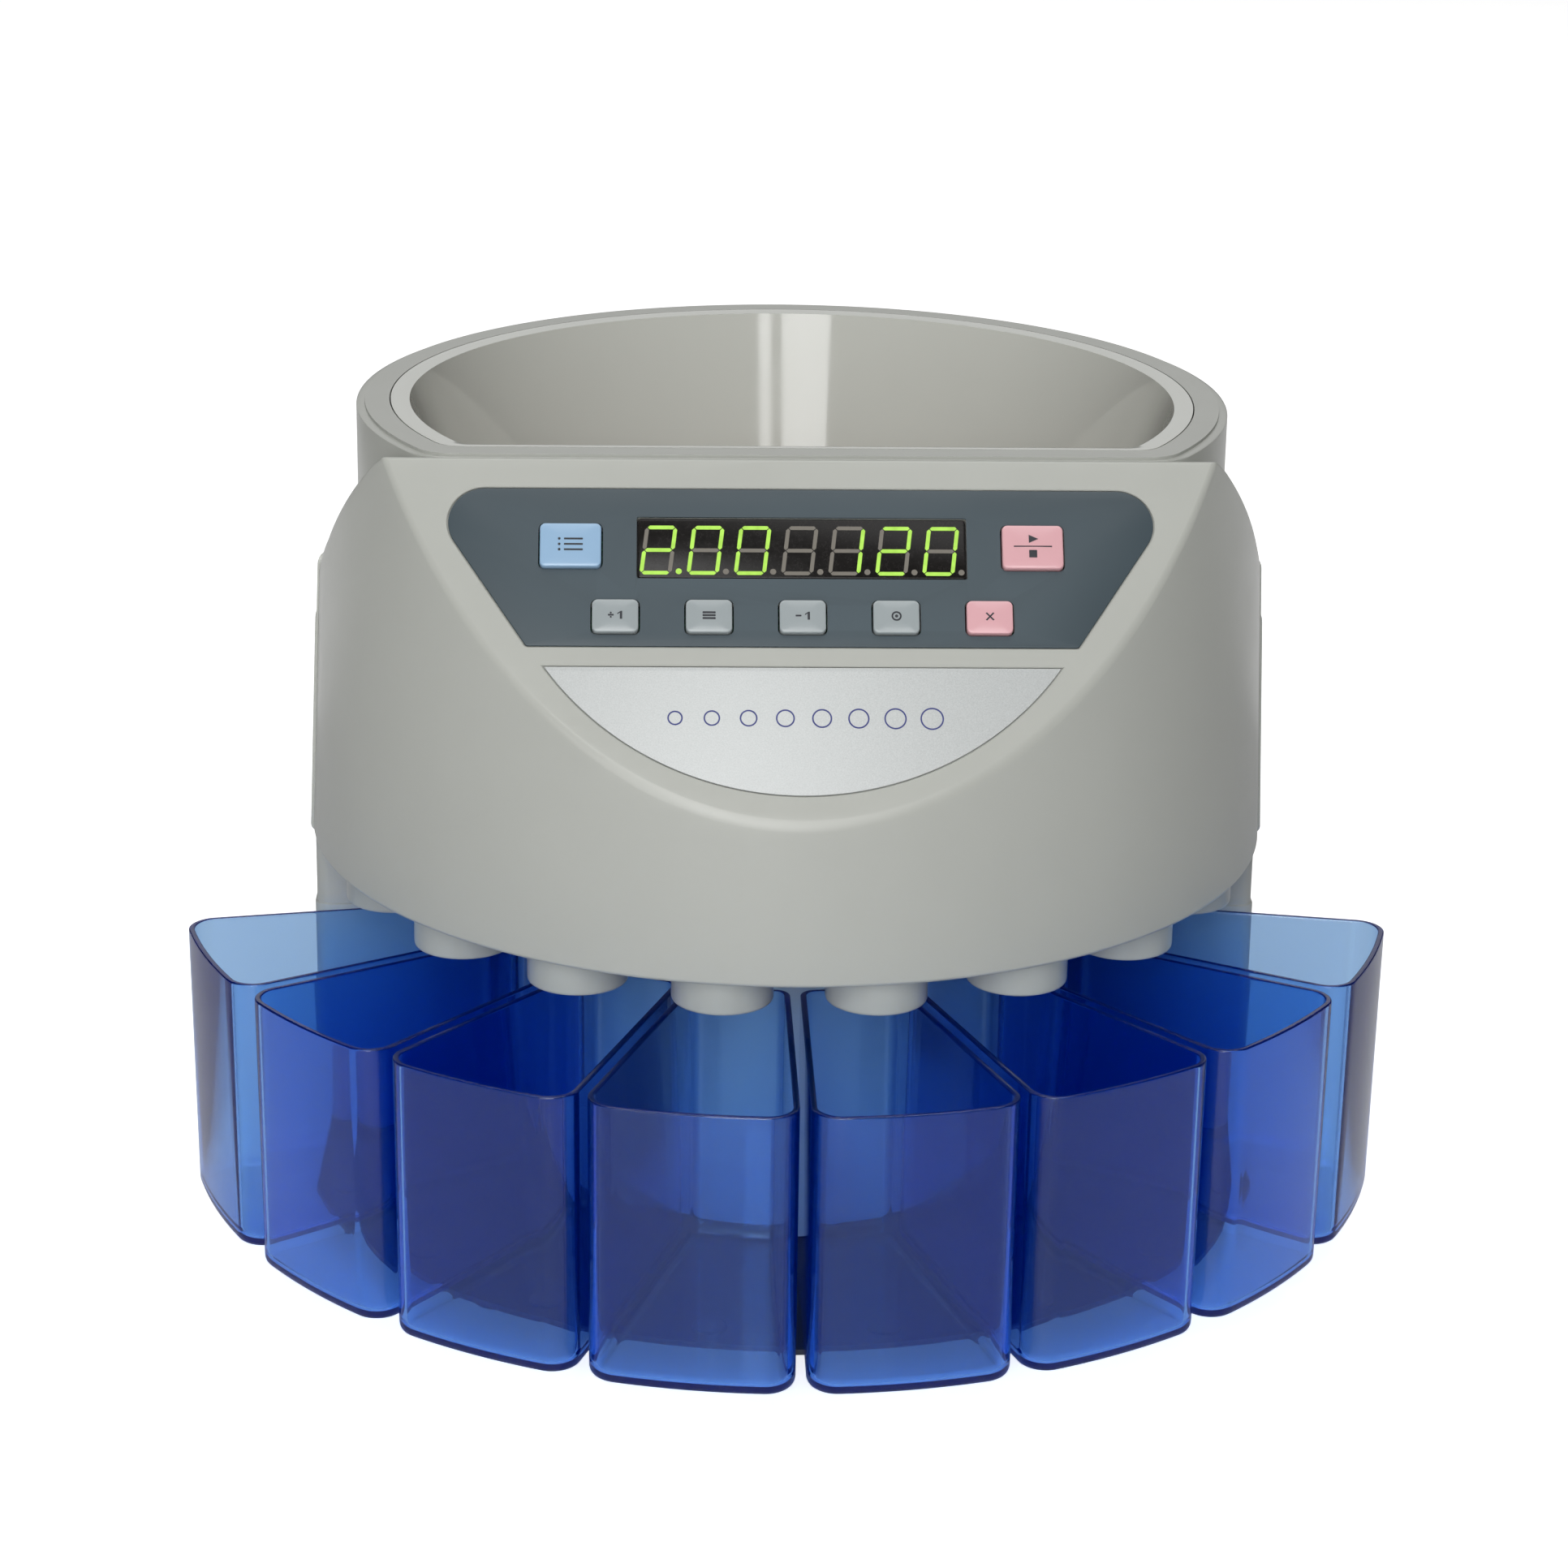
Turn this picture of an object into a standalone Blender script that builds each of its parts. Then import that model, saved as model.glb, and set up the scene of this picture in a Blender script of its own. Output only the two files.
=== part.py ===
"""Coin sorting machine: a round hopper over a spinning disc, with eight wedge-shaped bins in a fan.

Metres, +Z up. The front (control panel) faces -Y. The model is drawn about the feed disc's vertical
axis and then moved by AXIS_Y, so that the origin is at the centre of the machine's footprint, on the
surface it stands on.
"""
import math

import bmesh
import bpy
from mathutils import Matrix, Vector

# ---- driving dimensions ----------------------------------------------------------------------------
GAP = 0.0003               # air between two touching pieces
FOOT_H = 0.0057            # height of a rubber foot
BASE_Z = FOOT_H + GAP      # underside of the base plate
BASE_T = 0.0077            # thickness of the base plate
BIN_Z = 0.0148             # underside of the bins
BIN_H = 0.0830             # height of a bin
BIN_R = 0.1836             # outer radius of the fan at the bins' rims
BIN_DRAFT = 0.0008         # how much smaller that radius is at the bins' floors
BIN_R_IN = 0.0918          # radius of the bins' inner ends
BIN_WALL = 0.0018
BIN_COUNT = 8
BIN_PITCH = math.radians(19.75)    # angle from one bin to the next
BIN_HALF_GAP = 0.0014      # half of the space between two bins
SPOUT_R = 0.1250           # radius of the circle the spouts stand on
SPOUT_OUT = 0.0143         # outer radius of a spout
SPOUT_IN = 0.0123
SPOUT_Z = 0.1081           # lower end of the spouts
HEAD_Z = 0.1188            # lower edge of the head
HEAD_R = 0.1438            # radius of the head at its lower edge
HEAD_DRAFT = 0.043         # loss of radius per unit of height
WALL = 0.0028              # wall of the plastic covers
SEAM_Y = -0.0163           # plane in which the front cover ends
BACK_Y = 0.1430            # rear face of the housing
BACK_CORNER = 0.050        # radius of the housing's rear corners
WEDGE_INSET = 0.0004       # how far the wedge before the rear deck stands inside the housing's sides
COLUMN_X = 0.1433          # half width of the column under the head
PEDESTAL_R = 0.0796        # radius of the column's round front
FACET_TOP_Y = -0.0755      # upper edge of the sloping panel face
FACET_TOP_Z = 0.2492
FACET_SLOPE = 1.2688       # rise of the panel face per unit of depth
RIDGE_Y = -0.0740          # where the shoulders start to fall away behind the ridge
RIDGE_FALL = 0.78          # fall of the shoulders per unit of depth, just behind the ridge
SHOULDER_FALL = 0.66       # the same further back
SHOULDER_Z = 0.2080        # height of the shoulders at the seam
DECK_Z = 0.1900            # flat deck behind the shoulders
RIM_Z = 0.2502             # top of the hopper
HOPPER_R = 0.1283          # outer radius of the hopper collar
BOWL_R = 0.1125            # radius of the bowl's mouth
BOWL_CHORD = 0.0612        # distance from the axis to the bowl's straight front wall
BOWL_R_LOW = 0.0745        # radius of the bowl's lower opening
BOWL_Z = 0.1645            # lower edge of the bowl
COLLAR_CHORD = 0.0725      # the same distance for the outside of the collar
CHASSIS_Z = 0.1500         # underside of the sorter chassis
CHASSIS_T = 0.0030
DISC_R = 0.0945
DISC_Z = 0.1560            # underside of the feed disc
DISC_T = 0.0040
PULLEY_Z = 0.1100          # lower face of both pulleys
PULLEY_T = 0.0100
DISC_PULLEY_R = 0.0380     # running radius of the pulley on the disc shaft
MOTOR_PULLEY_R = 0.0100
MOTOR_Y = 0.0800           # distance from the disc shaft to the motor shaft
KEY_TRAVEL = 0.0008
SHAFT_R = 0.0040
SOCKET_Z = 0.0440          # height of the sockets' centres
INLET_X, SWITCH_X, FUSE_X, PORT_X = -0.0620, -0.0340, -0.0120, 0.0500
FLANGE_Y = BACK_Y + GAP    # the sockets' flanges stand on the column's outside

FUSE_CAP = 0.0050          # how far the rearmost piece, the fuse cap, stands out of the back
FRONT_Y = -BIN_R * math.cos(math.radians(2.9))
AXIS_Y = -(FRONT_Y + BACK_Y + GAP + FUSE_CAP) / 2
FACET_ANGLE = math.atan(FACET_SLOPE)

# Sizes on the panel face: x to the right, v down the slope from its upper edge.
PANEL_TOP_V, PANEL_BOTTOM_V = 0.0081, 0.0554
PANEL_TOP_X, PANEL_BOTTOM_X = 0.1068, 0.0759
PANEL_CORNER_R = 0.0105
WINDOW_V, WINDOW_SIZE = 0.02595, (0.0912, 0.0183)
BIG_KEY_V, BIG_KEY_X, BIG_KEY_SIZE = 0.0257, 0.0638, (0.0178, 0.0137)
SMALL_KEY_V, SMALL_KEY_PITCH, SMALL_KEY_SIZE = 0.0466, 0.0257, (0.0136, 0.0104)
BADGE_TOP_V, BADGE_TIP_V, BADGE_RADIUS = 0.0609, 0.0985, 0.0865
FACET_WALL = 0.0030
INLAY_DEPTH = 0.0009       # depth of the pockets for the panel and the badge
INLAY_T = 0.0006

# ---- colours: name, RGB, roughness, metallic ----------------------------------------------------------
FINISHES = {
    "shell_grey": ((0.44, 0.46, 0.42), 0.35, 0.0),
    "slate": ((0.085, 0.115, 0.145), 0.45, 0.0),
    "silver_foil": ((0.60, 0.62, 0.63), 0.35, 0.7),
    "key_grey": ((0.46, 0.51, 0.52), 0.25, 0.0),
    "key_blue": ((0.40, 0.60, 0.82), 0.25, 0.0),
    "key_pink": ((0.83, 0.45, 0.51), 0.25, 0.0),
    "smoked_lens": ((0.012, 0.010, 0.009), 0.08, 0.0),
    "bin_blue": ((0.02, 0.06, 0.55), 0.08, 0.0),
    "black_plastic": ((0.012, 0.012, 0.013), 0.45, 0.0),
    "black_rubber": ((0.02, 0.02, 0.02), 0.85, 0.0),
    "steel": ((0.55, 0.56, 0.58), 0.30, 1.0),
    "zinc_plate": ((0.50, 0.51, 0.50), 0.42, 1.0),
    "board_green": ((0.015, 0.13, 0.05), 0.40, 0.0),
    "transformer_iron": ((0.10, 0.10, 0.11), 0.50, 0.8),
    "motor_can": ((0.40, 0.41, 0.43), 0.35, 1.0),
    "disc_white": ((0.62, 0.62, 0.58), 0.40, 0.0),
    "mat_orange": ((0.55, 0.16, 0.05), 0.75, 0.0),
}


# ---- scene and object helpers ------------------------------------------------------------------------
def clear_scene():
    for obj in list(bpy.data.objects):
        bpy.data.objects.remove(obj, do_unlink=True)


def material(name):
    found = bpy.data.materials.get(name)
    if found:
        return found
    colour, roughness, metallic = FINISHES[name]
    mat = bpy.data.materials.new(name)
    mat.use_nodes = True
    shader = mat.node_tree.nodes["Principled BSDF"]
    shader.inputs["Base Color"].default_value = (*colour, 1.0)
    shader.inputs["Roughness"].default_value = roughness
    shader.inputs["Metallic"].default_value = metallic
    return mat


def empty(name, parent=None, location=(0, 0, 0), rotation=(0, 0, 0)):
    obj = bpy.data.objects.new(name, None)
    bpy.context.scene.collection.objects.link(obj)
    obj.parent = parent
    obj.location = location
    obj.rotation_euler = rotation
    return obj


def place(name, bm, finish, parent, location=(0, 0, 0), rotation=(0, 0, 0)):
    """Turns a bmesh into a named object with its faces pointing out."""
    bmesh.ops.recalc_face_normals(bm, faces=bm.faces)
    mesh = bpy.data.meshes.new(name)
    bm.to_mesh(mesh)
    bm.free()
    mesh.shade_smooth()
    mesh.set_sharp_from_angle(angle=math.radians(32))
    obj = bpy.data.objects.new(name, mesh)
    bpy.context.scene.collection.objects.link(obj)
    obj.parent = parent
    obj.location = location
    obj.rotation_euler = rotation
    if finish:
        mesh.materials.append(material(finish))
    return obj


def boolean(obj, bm, parent, operation="DIFFERENCE", location=(0, 0, 0), rotation=(0, 0, 0)):
    """Cuts a hidden shape out of obj, or joins it to obj."""
    label = f"tool_{obj.name}_{len(obj.modifiers) + 1}"
    tool = place(label, bm, None, parent, location, rotation)
    tool.hide_render = True
    tool.display_type = "WIRE"
    step = obj.modifiers.new(label, "BOOLEAN")
    step.object = tool
    step.operation = operation
    step.solver = "EXACT"
    return obj


# ---- shapes -----------------------------------------------------------------------------------------
def loft(loops, closed_ring=False):
    """A solid from a stack of point loops, capped at both ends unless the stack closes on itself."""
    bm = bmesh.new()
    rows = [[bm.verts.new(point) for point in loop] for loop in loops]
    count = len(rows[0])
    pairs = list(zip(rows, rows[1:]))
    if closed_ring:
        pairs.append((rows[-1], rows[0]))
    for lower, upper in pairs:
        for i in range(count):
            j = (i + 1) % count
            bm.faces.new((lower[i], lower[j], upper[j], upper[i]))
    if not closed_ring:
        bm.faces.new(reversed(rows[0]))
        bm.faces.new(rows[-1])
    return bm


def at_height(outline, z):
    return [(x, y, z) for x, y in outline]


def prism(outline, z0, z1):
    return loft([at_height(outline, z0), at_height(outline, z1)])


def circle(radius, segments, x=0.0, y=0.0):
    step = 2 * math.pi / segments
    return [(x + radius * math.cos(i * step), y + radius * math.sin(i * step)) for i in range(segments)]


def turned(profile, segments, x=0.0, y=0.0, hollow=False):
    """A solid of revolution: profile is a list of (radius, z), from one end to the other."""
    return loft([at_height(circle(r, segments, x, y), z) for r, z in profile], closed_ring=hollow)


def tube(r_out, r_in, z0, z1, segments, x=0.0, y=0.0):
    return turned([(r_out, z0), (r_out, z1), (r_in, z1), (r_in, z0)], segments, x, y, hollow=True)


def arc(cx, cy, radius, start, end, segments):
    """Points on an arc, both ends included. Angles in radians."""
    step = (end - start) / segments
    return [(cx + radius * math.cos(start + i * step), cy + radius * math.sin(start + i * step))
            for i in range(segments + 1)]


def rounded_box(width, height, corner, segments=3):
    """Outline of a rectangle about the origin with round corners."""
    hx, hy = width / 2 - corner, height / 2 - corner
    quarter = math.pi / 2
    points = []
    for i, (sx, sy) in enumerate(((1, 1), (-1, 1), (-1, -1), (1, -1))):
        points += arc(sx * hx, sy * hy, corner, i * quarter, (i + 1) * quarter, segments)
    return points


def block(size, centre):
    bm = bmesh.new()
    bmesh.ops.create_cube(bm, size=1.0, matrix=Matrix.Translation(centre) @ Matrix.Diagonal((*size, 1.0)))
    return bm


def merged(parts):
    """Several closed shapes in one mesh, for use as a Boolean tool. The parts stay clear of each other."""
    result = bmesh.new()
    for part in parts:
        mesh = bpy.data.meshes.new("scratch")
        part.to_mesh(mesh)
        part.free()
        result.from_mesh(mesh)
        bpy.data.meshes.remove(mesh)
    return result


def keep_below(bm, point, normal):
    """Cuts a convex solid with a plane and closes the cut."""
    geometry = bm.verts[:] + bm.edges[:] + bm.faces[:]
    cut = bmesh.ops.bisect_plane(bm, geom=geometry, plane_co=point, plane_no=normal, clear_outer=True)
    edges = [item for item in cut["geom_cut"] if isinstance(item, bmesh.types.BMEdge)]
    bmesh.ops.edgeloop_fill(bm, edges=edges)


def bin_angle(index):
    """Angle of a bin or spout, counted from the front, positive to the right."""
    return (index - (BIN_COUNT - 1) / 2) * BIN_PITCH


def on_fan(radius, angle):
    return radius * math.sin(angle), -radius * math.cos(angle)


# ---- outlines seen from above ---------------------------------------------------------------------------
def bin_outline(inset, radius):
    """One bin, pointing to -Y. The inset moves every side inwards."""
    half = BIN_PITCH / 2
    gap = BIN_HALF_GAP + inset
    r_far, r_near = radius - inset, BIN_R_IN + inset
    c_far, c_near = max(0.0085 - inset, 0.002), max(0.0045 - inset, 0.0015)
    a_far = half - math.asin((gap + c_far) / (r_far - c_far))
    a_near = half - math.asin((gap + c_near) / (r_near + c_near))
    front = -math.pi / 2
    far, near = r_far - c_far, r_near + c_near
    points = []
    # right far corner, far arc, left far corner
    points += arc(far * math.sin(a_far), -far * math.cos(a_far), c_far, half, front + a_far, 4)
    points += arc(0, 0, r_far, front + a_far, front - a_far, 6)[1:-1]
    points += arc(-far * math.sin(a_far), -far * math.cos(a_far), c_far, front - a_far, -math.pi - half, 4)
    # left near corner, near arc, right near corner
    points += arc(-near * math.sin(a_near), -near * math.cos(a_near), c_near,
                  math.pi - half, math.pi / 2 - a_near, 3)
    points += arc(0, 0, r_near, front - a_near, front + a_near, 3)[1:-1]
    points += arc(near * math.sin(a_near), -near * math.cos(a_near), c_near,
                  math.pi / 2 + a_near, half, 3)
    return points


def cut_circle(radius, chord, corner, segments=40):
    """A circle whose front is cut off straight at y = -chord, with round corners."""
    turn = math.acos((chord - corner) / (radius - corner))
    front = -math.pi / 2
    cx = (radius - corner) * math.sin(turn)
    cy = -(chord - corner)
    points = arc(cx, cy, corner, front, front + turn, 3)
    points += arc(0, 0, radius, front + turn, front + 2 * math.pi - turn, segments)[1:-1]
    points += arc(-cx, cy, corner, front - turn, front, 3)
    return points


def housing_outline(half_width, inset, front_y, back_y=BACK_Y):
    """The housing behind the seam: flat front and sides, round rear corners."""
    x, back = half_width - inset, back_y - inset
    corner = BACK_CORNER - inset
    points = [(-x, front_y), (x, front_y)]
    points += arc(x - corner, back - corner, corner, 0, math.pi / 2, 8)
    points += arc(-x + corner, back - corner, corner, math.pi / 2, math.pi, 8)
    return points


def column_outline(inset):
    """The column: the housing's outline with a half-round bulge in the middle of its front."""
    x, front, back = COLUMN_X - inset, SEAM_Y + 0.0003 + inset, BACK_Y - inset
    corner, edge, bulge = BACK_CORNER - inset, 0.0045 - inset, PEDESTAL_R - inset
    start = math.asin(front / bulge)
    points = arc(-x + edge, front + edge, edge, -math.pi, -math.pi / 2, 3)
    points += arc(0, 0, bulge, math.pi - start, 2 * math.pi + start, 28)
    points += arc(x - edge, front + edge, edge, -math.pi / 2, 0, 3)
    points += arc(x - corner, back - corner, corner, 0, math.pi / 2, 8)
    points += arc(-x + corner, back - corner, corner, math.pi / 2, math.pi, 8)
    return points


def base_outline(inset):
    """The base plate: a round front that runs into the column's sides."""
    radius, x, back = 0.1520 - inset, COLUMN_X - inset, BACK_Y - 0.002 - inset
    corner = BACK_CORNER - inset
    turn = math.asin(x / radius)
    front = -math.pi / 2
    points = arc(0, 0, radius, front - turn, front + turn, 30)
    points += arc(x - corner, back - corner, corner, 0, math.pi / 2, 8)
    points += arc(-x + corner, back - corner, corner, math.pi / 2, math.pi, 8)
    return points


# ---- the stand --------------------------------------------------------------------------------------
def make_base(axis):
    top = BASE_Z + BASE_T
    levels = [(0.0150, BASE_Z), (0.0040, BASE_Z + 0.0042), (0.0, BASE_Z + 0.0060), (0.0, top)]
    plate = place("base_plate", loft([at_height(base_outline(inset), z) for inset, z in levels]),
                  "black_plastic", axis)
    pads = [turned([(0.0050, top - 0.0010), (0.0050, top + 0.0006), (0.0044, top + 0.0008)], 16,
                   *on_fan(0.1428, bin_angle(i))) for i in range(BIN_COUNT)]
    boolean(plate, merged(pads), axis, "UNION")
    for i, (x, y) in enumerate(((-0.085, -0.095), (0.085, -0.095), (-0.098, 0.105), (0.098, 0.105))):
        place(f"rubber_foot_{i + 1}",
              turned([(0.0075, 0), (0.0085, 0.0008), (0.0090, FOOT_H)], 20), "black_rubber", axis, (x, y, 0))


def make_column(axis):
    z0, z1 = BASE_Z + BASE_T + GAP, HEAD_Z - GAP
    outer, inner = column_outline(0.0), column_outline(0.0025)
    rings = [at_height(outer, z0), at_height(outer, z1), at_height(inner, z1), at_height(inner, z0)]
    column = place("column_shell", loft(rings, closed_ring=True), "shell_grey", axis)
    openings = [
        block((0.0276, 0.02, 0.0206), (INLET_X, BACK_Y, SOCKET_Z)),
        block((0.0126, 0.02, 0.0186), (SWITCH_X, BACK_Y, SOCKET_Z)),
        turned([(0.0058, -0.01), (0.0058, 0.01)], 16),
        block((0.0246, 0.02, 0.0106), (PORT_X, BACK_Y, SOCKET_Z)),
    ]
    bmesh.ops.rotate(openings[2], verts=openings[2].verts, matrix=Matrix.Rotation(math.pi / 2, 3, "X"))
    bmesh.ops.translate(openings[2], verts=openings[2].verts, vec=(FUSE_X, BACK_Y, SOCKET_Z))
    boolean(column, merged(openings), axis)


# ---- the sockets in the column's back ----------------------------------------------------------------------

def make_sockets(axis):
    """Each socket is drawn with its front towards +Y, about its own centre on the column's rear face."""
    inlet = empty("inlet_place", axis, (INLET_X, FLANGE_Y, SOCKET_Z))
    outside = Matrix.Rotation(-math.pi / 2, 3, "X")

    def facing_back(bm):
        bmesh.ops.rotate(bm, verts=bm.verts, matrix=outside)
        return bm

    body = place("power_inlet", facing_back(prism(rounded_box(0.0300, 0.0235, 0.003), 0, 0.0018)),
                 "black_plastic", inlet)
    boolean(body, facing_back(prism(rounded_box(0.0270, 0.0200, 0.002), -0.0180, 0.0010)), inlet, "UNION")
    boolean(body, facing_back(prism(rounded_box(0.0230, 0.0150, 0.003), -0.0150, 0.0040)), inlet)
    pins = [block((0.0020, 0.0100, 0.0040), (x, -0.0105, z))
            for x, z in ((-0.0070, -0.0010), (0, 0.0030), (0.0070, -0.0010))]
    boolean(body, merged(pins), inlet, "UNION")

    seat = empty("switch_place", axis, (SWITCH_X, FLANGE_Y, SOCKET_Z))
    frame = place("switch_frame", facing_back(prism(rounded_box(0.0150, 0.0210, 0.001), 0, 0.0016)),
                  "black_plastic", seat)
    boolean(frame, facing_back(prism(rounded_box(0.0120, 0.0180, 0.0005), -0.0120, 0.0010)), seat, "UNION")
    boolean(frame, facing_back(prism(rounded_box(0.0098, 0.0158, 0.0004), -0.0100, 0.0040)), seat)
    rocker = empty("rocker_axis", seat, (0, -0.0022, 0))
    half = 0.0068
    profile = [(half, 0.0030), (0.0, 0.0014), (-half, 0.0046), (-0.0062, -0.0038), (0.0062, -0.0038)]
    bm = loft([[(x, y, z) for z, y in profile] for x in (-0.0046, 0.0046)])
    place("switch_rocker", bm, "black_plastic", rocker)

    fuse = empty("fuse_place", axis, (FUSE_X, FLANGE_Y, SOCKET_Z))
    cap = place("fuse_holder", facing_back(turned([(0.0054, -0.022), (0.0054, 0.0), (0.0080, 0.0),
                                                   (0.0080, FUSE_CAP - 0.001), (0.0072, FUSE_CAP)], 16)),
                "black_plastic", fuse)
    boolean(cap, block((0.0100, 0.0030, 0.0014), (0, FUSE_CAP, 0)), fuse)

    port = empty("port_place", axis, (PORT_X, FLANGE_Y, SOCKET_Z))
    shell = place("data_port", facing_back(prism(rounded_box(0.0300, 0.0125, 0.0015), 0, 0.0010)),
                  "steel", port)
    boolean(shell, facing_back(prism(rounded_box(0.0240, 0.0100, 0.002), -0.0080, 0.0005)), port, "UNION")
    boolean(shell, facing_back(prism(rounded_box(0.0180, 0.0080, 0.002), -0.0060, 0.0030)), port)


# ---- the head's covers --------------------------------------------------------------------------------------
def head_radius(z):
    return HEAD_R - HEAD_DRAFT * (z - HEAD_Z)


def head_solid(inset, z0):
    """The head without its shoulders cut, or the space inside it. The inset moves every face inwards."""
    z1 = FACET_TOP_Z - inset
    bm = turned([(head_radius(z0) - inset, z0), (head_radius(z1) - inset, z1)], 96)
    facet = Vector((0, -math.sin(FACET_ANGLE), math.cos(FACET_ANGLE)))
    edge = Vector((0, FACET_TOP_Y, FACET_TOP_Z))
    facet_inset = inset * FACET_WALL / WALL
    keep_below(bm, edge - facet * facet_inset, facet)
    return bm


def keep_below_slope(bm, y, z, fall, inset=0.0):
    """Cuts a convex solid with the plane that falls backwards from (y, z), moved inwards by the inset."""
    normal = Vector((0, fall, 1)).normalized()
    keep_below(bm, Vector((0, y, z)) - normal * inset, normal)


def shoulder_height(y):
    return SHOULDER_Z - SHOULDER_FALL * (y - SEAM_Y)


def above_shoulders():
    """The space above the shoulders: a steep fall behind the ridge, then a gentle one to the seam."""
    bend = (FACET_TOP_Z - shoulder_height(0) + RIDGE_FALL * RIDGE_Y) / (RIDGE_FALL - SHOULDER_FALL)
    start, end, sky, half = RIDGE_Y - 0.005, SEAM_Y + 0.02, RIM_Z + 0.02, HEAD_R + 0.01
    profile = [(start, FACET_TOP_Z + RIDGE_FALL * 0.005), (bend, shoulder_height(bend)),
               (end, shoulder_height(end)), (end, sky), (start, sky)]
    return loft([[(x, y, z) for y, z in profile] for x in (-half, half)])


def hopper_hole(clearance, z0, z1):
    return prism(cut_circle(HOPPER_R + clearance, COLLAR_CHORD + clearance, 0.012), z0, z1)


def make_front_cover(axis, facet):
    outer = head_solid(0.0, HEAD_Z)
    keep_below(outer, Vector((0, SEAM_Y, 0)), Vector((0, 1, 0)))
    cover = place("front_cover", outer, "shell_grey", axis)
    boolean(cover, above_shoulders(), axis)
    behind_ridge = head_solid(WALL, HEAD_Z - 0.01)
    keep_below_slope(behind_ridge, RIDGE_Y, FACET_TOP_Z, RIDGE_FALL, WALL)
    boolean(cover, behind_ridge, axis)
    at_seam = head_solid(WALL + 0.0004, HEAD_Z - 0.02)
    keep_below_slope(at_seam, SEAM_Y, SHOULDER_Z, SHOULDER_FALL, WALL)
    boolean(cover, at_seam, axis)
    boolean(cover, hopper_hole(0.0004, DECK_Z - 0.02, RIM_Z + 0.01), axis)
    inlays = [prism(panel_outline(0.0), -INLAY_DEPTH, 0.01), prism(badge_outline(0.0), -INLAY_DEPTH, 0.01)]
    boolean(cover, merged(inlays), facet)
    holes = [window_prism(0.0, -0.02, 0.02)]
    holes += [key_prism(size, 0.0, -0.02, 0.02, x, v) for _, x, v, size, _ in KEYS]
    boolean(cover, merged(holes), facet)


def make_rear_cover(axis):
    """A low hood with a rounded deck, and a wedge at its front that carries the shoulders down to it."""
    rounding = 0.0050
    front = SEAM_Y + GAP

    def hood(inset, front_y, levels):
        """Stack of (z, how much the outline is moved inwards there), following the head's draft."""
        loops = []
        for z, edge in levels:
            draft = HEAD_DRAFT * (z - HEAD_Z)
            outline = housing_outline(HEAD_R - draft, inset + edge, front_y, BACK_Y - draft)
            loops.append(at_height(outline, z))
        return loft(loops)

    def wedge(inset, front_y, z0):
        bm = hood(inset, front_y, [(z0, 0.0), (SHOULDER_Z + 0.01, 0.0)])
        keep_below_slope(bm, SEAM_Y, SHOULDER_Z, SHOULDER_FALL, max(0.0, inset - WEDGE_INSET))
        end = SEAM_Y + (SHOULDER_Z - DECK_Z) / SHOULDER_FALL + 0.010
        keep_below(bm, Vector((0, end, 0)), Vector((0, 1, 0)))
        return bm

    top = DECK_Z - WALL
    cover = place("rear_cover", hood(0.0, front, [(HEAD_Z, 0.0), (DECK_Z - rounding, 0.0),
                                                  (DECK_Z - 0.0015, 0.0015), (DECK_Z, rounding)]),
                  "shell_grey", axis)
    boolean(cover, wedge(WEDGE_INSET, front, DECK_Z - 0.020), axis, "UNION")
    boolean(cover, hood(WALL, front - 0.01, [(HEAD_Z - 0.01, 0.0), (top - rounding, 0.0),
                                             (top - 0.0015, 0.0015), (top, rounding)]), axis)
    boolean(cover, wedge(WALL + WEDGE_INSET, front - 0.01, DECK_Z - 0.030), axis)
    boolean(cover, prism(circle(HOPPER_R + 0.0005, 72), DECK_Z - 0.02, SHOULDER_Z + 0.02), axis)


def make_outlet_tray(axis):
    """The tray that closes the head from below and carries the eight spouts and four posts."""
    z0, z1 = HEAD_Z + 0.0020, HEAD_Z + 0.0050
    inset = WALL + 0.0013
    radius = x = HEAD_R - inset
    corner, back = BACK_CORNER - inset, BACK_Y - inset
    front = -math.pi / 2
    turn = math.acos(-SEAM_Y / radius)
    outline = arc(0, 0, radius, front - turn, front + turn, 32)
    outline += arc(x - corner, back - corner, corner, 0, math.pi / 2, 8)
    outline += arc(-x + corner, back - corner, corner, math.pi / 2, math.pi, 8)
    tray = place("outlet_tray", prism(outline, z0, z1), "shell_grey", axis)
    top = CHASSIS_Z - GAP
    solids = [turned([(SPOUT_OUT - 0.0005, SPOUT_Z), (SPOUT_OUT, SPOUT_Z + 0.0005), (SPOUT_OUT, top)],
                     20, *on_fan(SPOUT_R, bin_angle(i))) for i in range(BIN_COUNT)]
    solids += [turned([(0.0050, z0 + 0.001), (0.0050, top)], 8, px, py)
               for px, py in ((-0.112, 0.030), (0.112, 0.030), (-0.050, 0.115), (0.050, 0.115))]
    boolean(tray, merged(solids), axis, "UNION")
    bores = [turned([(SPOUT_IN, SPOUT_Z - 0.01), (SPOUT_IN, top + 0.01)], 18, *on_fan(SPOUT_R, bin_angle(i)))
             for i in range(BIN_COUNT)]
    slot = cut_slot(0.0, MOTOR_Y, 0.0450)
    boolean(tray, merged(bores + [prism(slot, z0 - 0.01, z1 + 0.01)]), axis)


def cut_slot(y0, y1, radius):
    """Outline of a slot along Y with round ends."""
    return arc(0, y1, radius, 0, math.pi, 14) + arc(0, y0, radius, math.pi, 2 * math.pi, 14)


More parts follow.
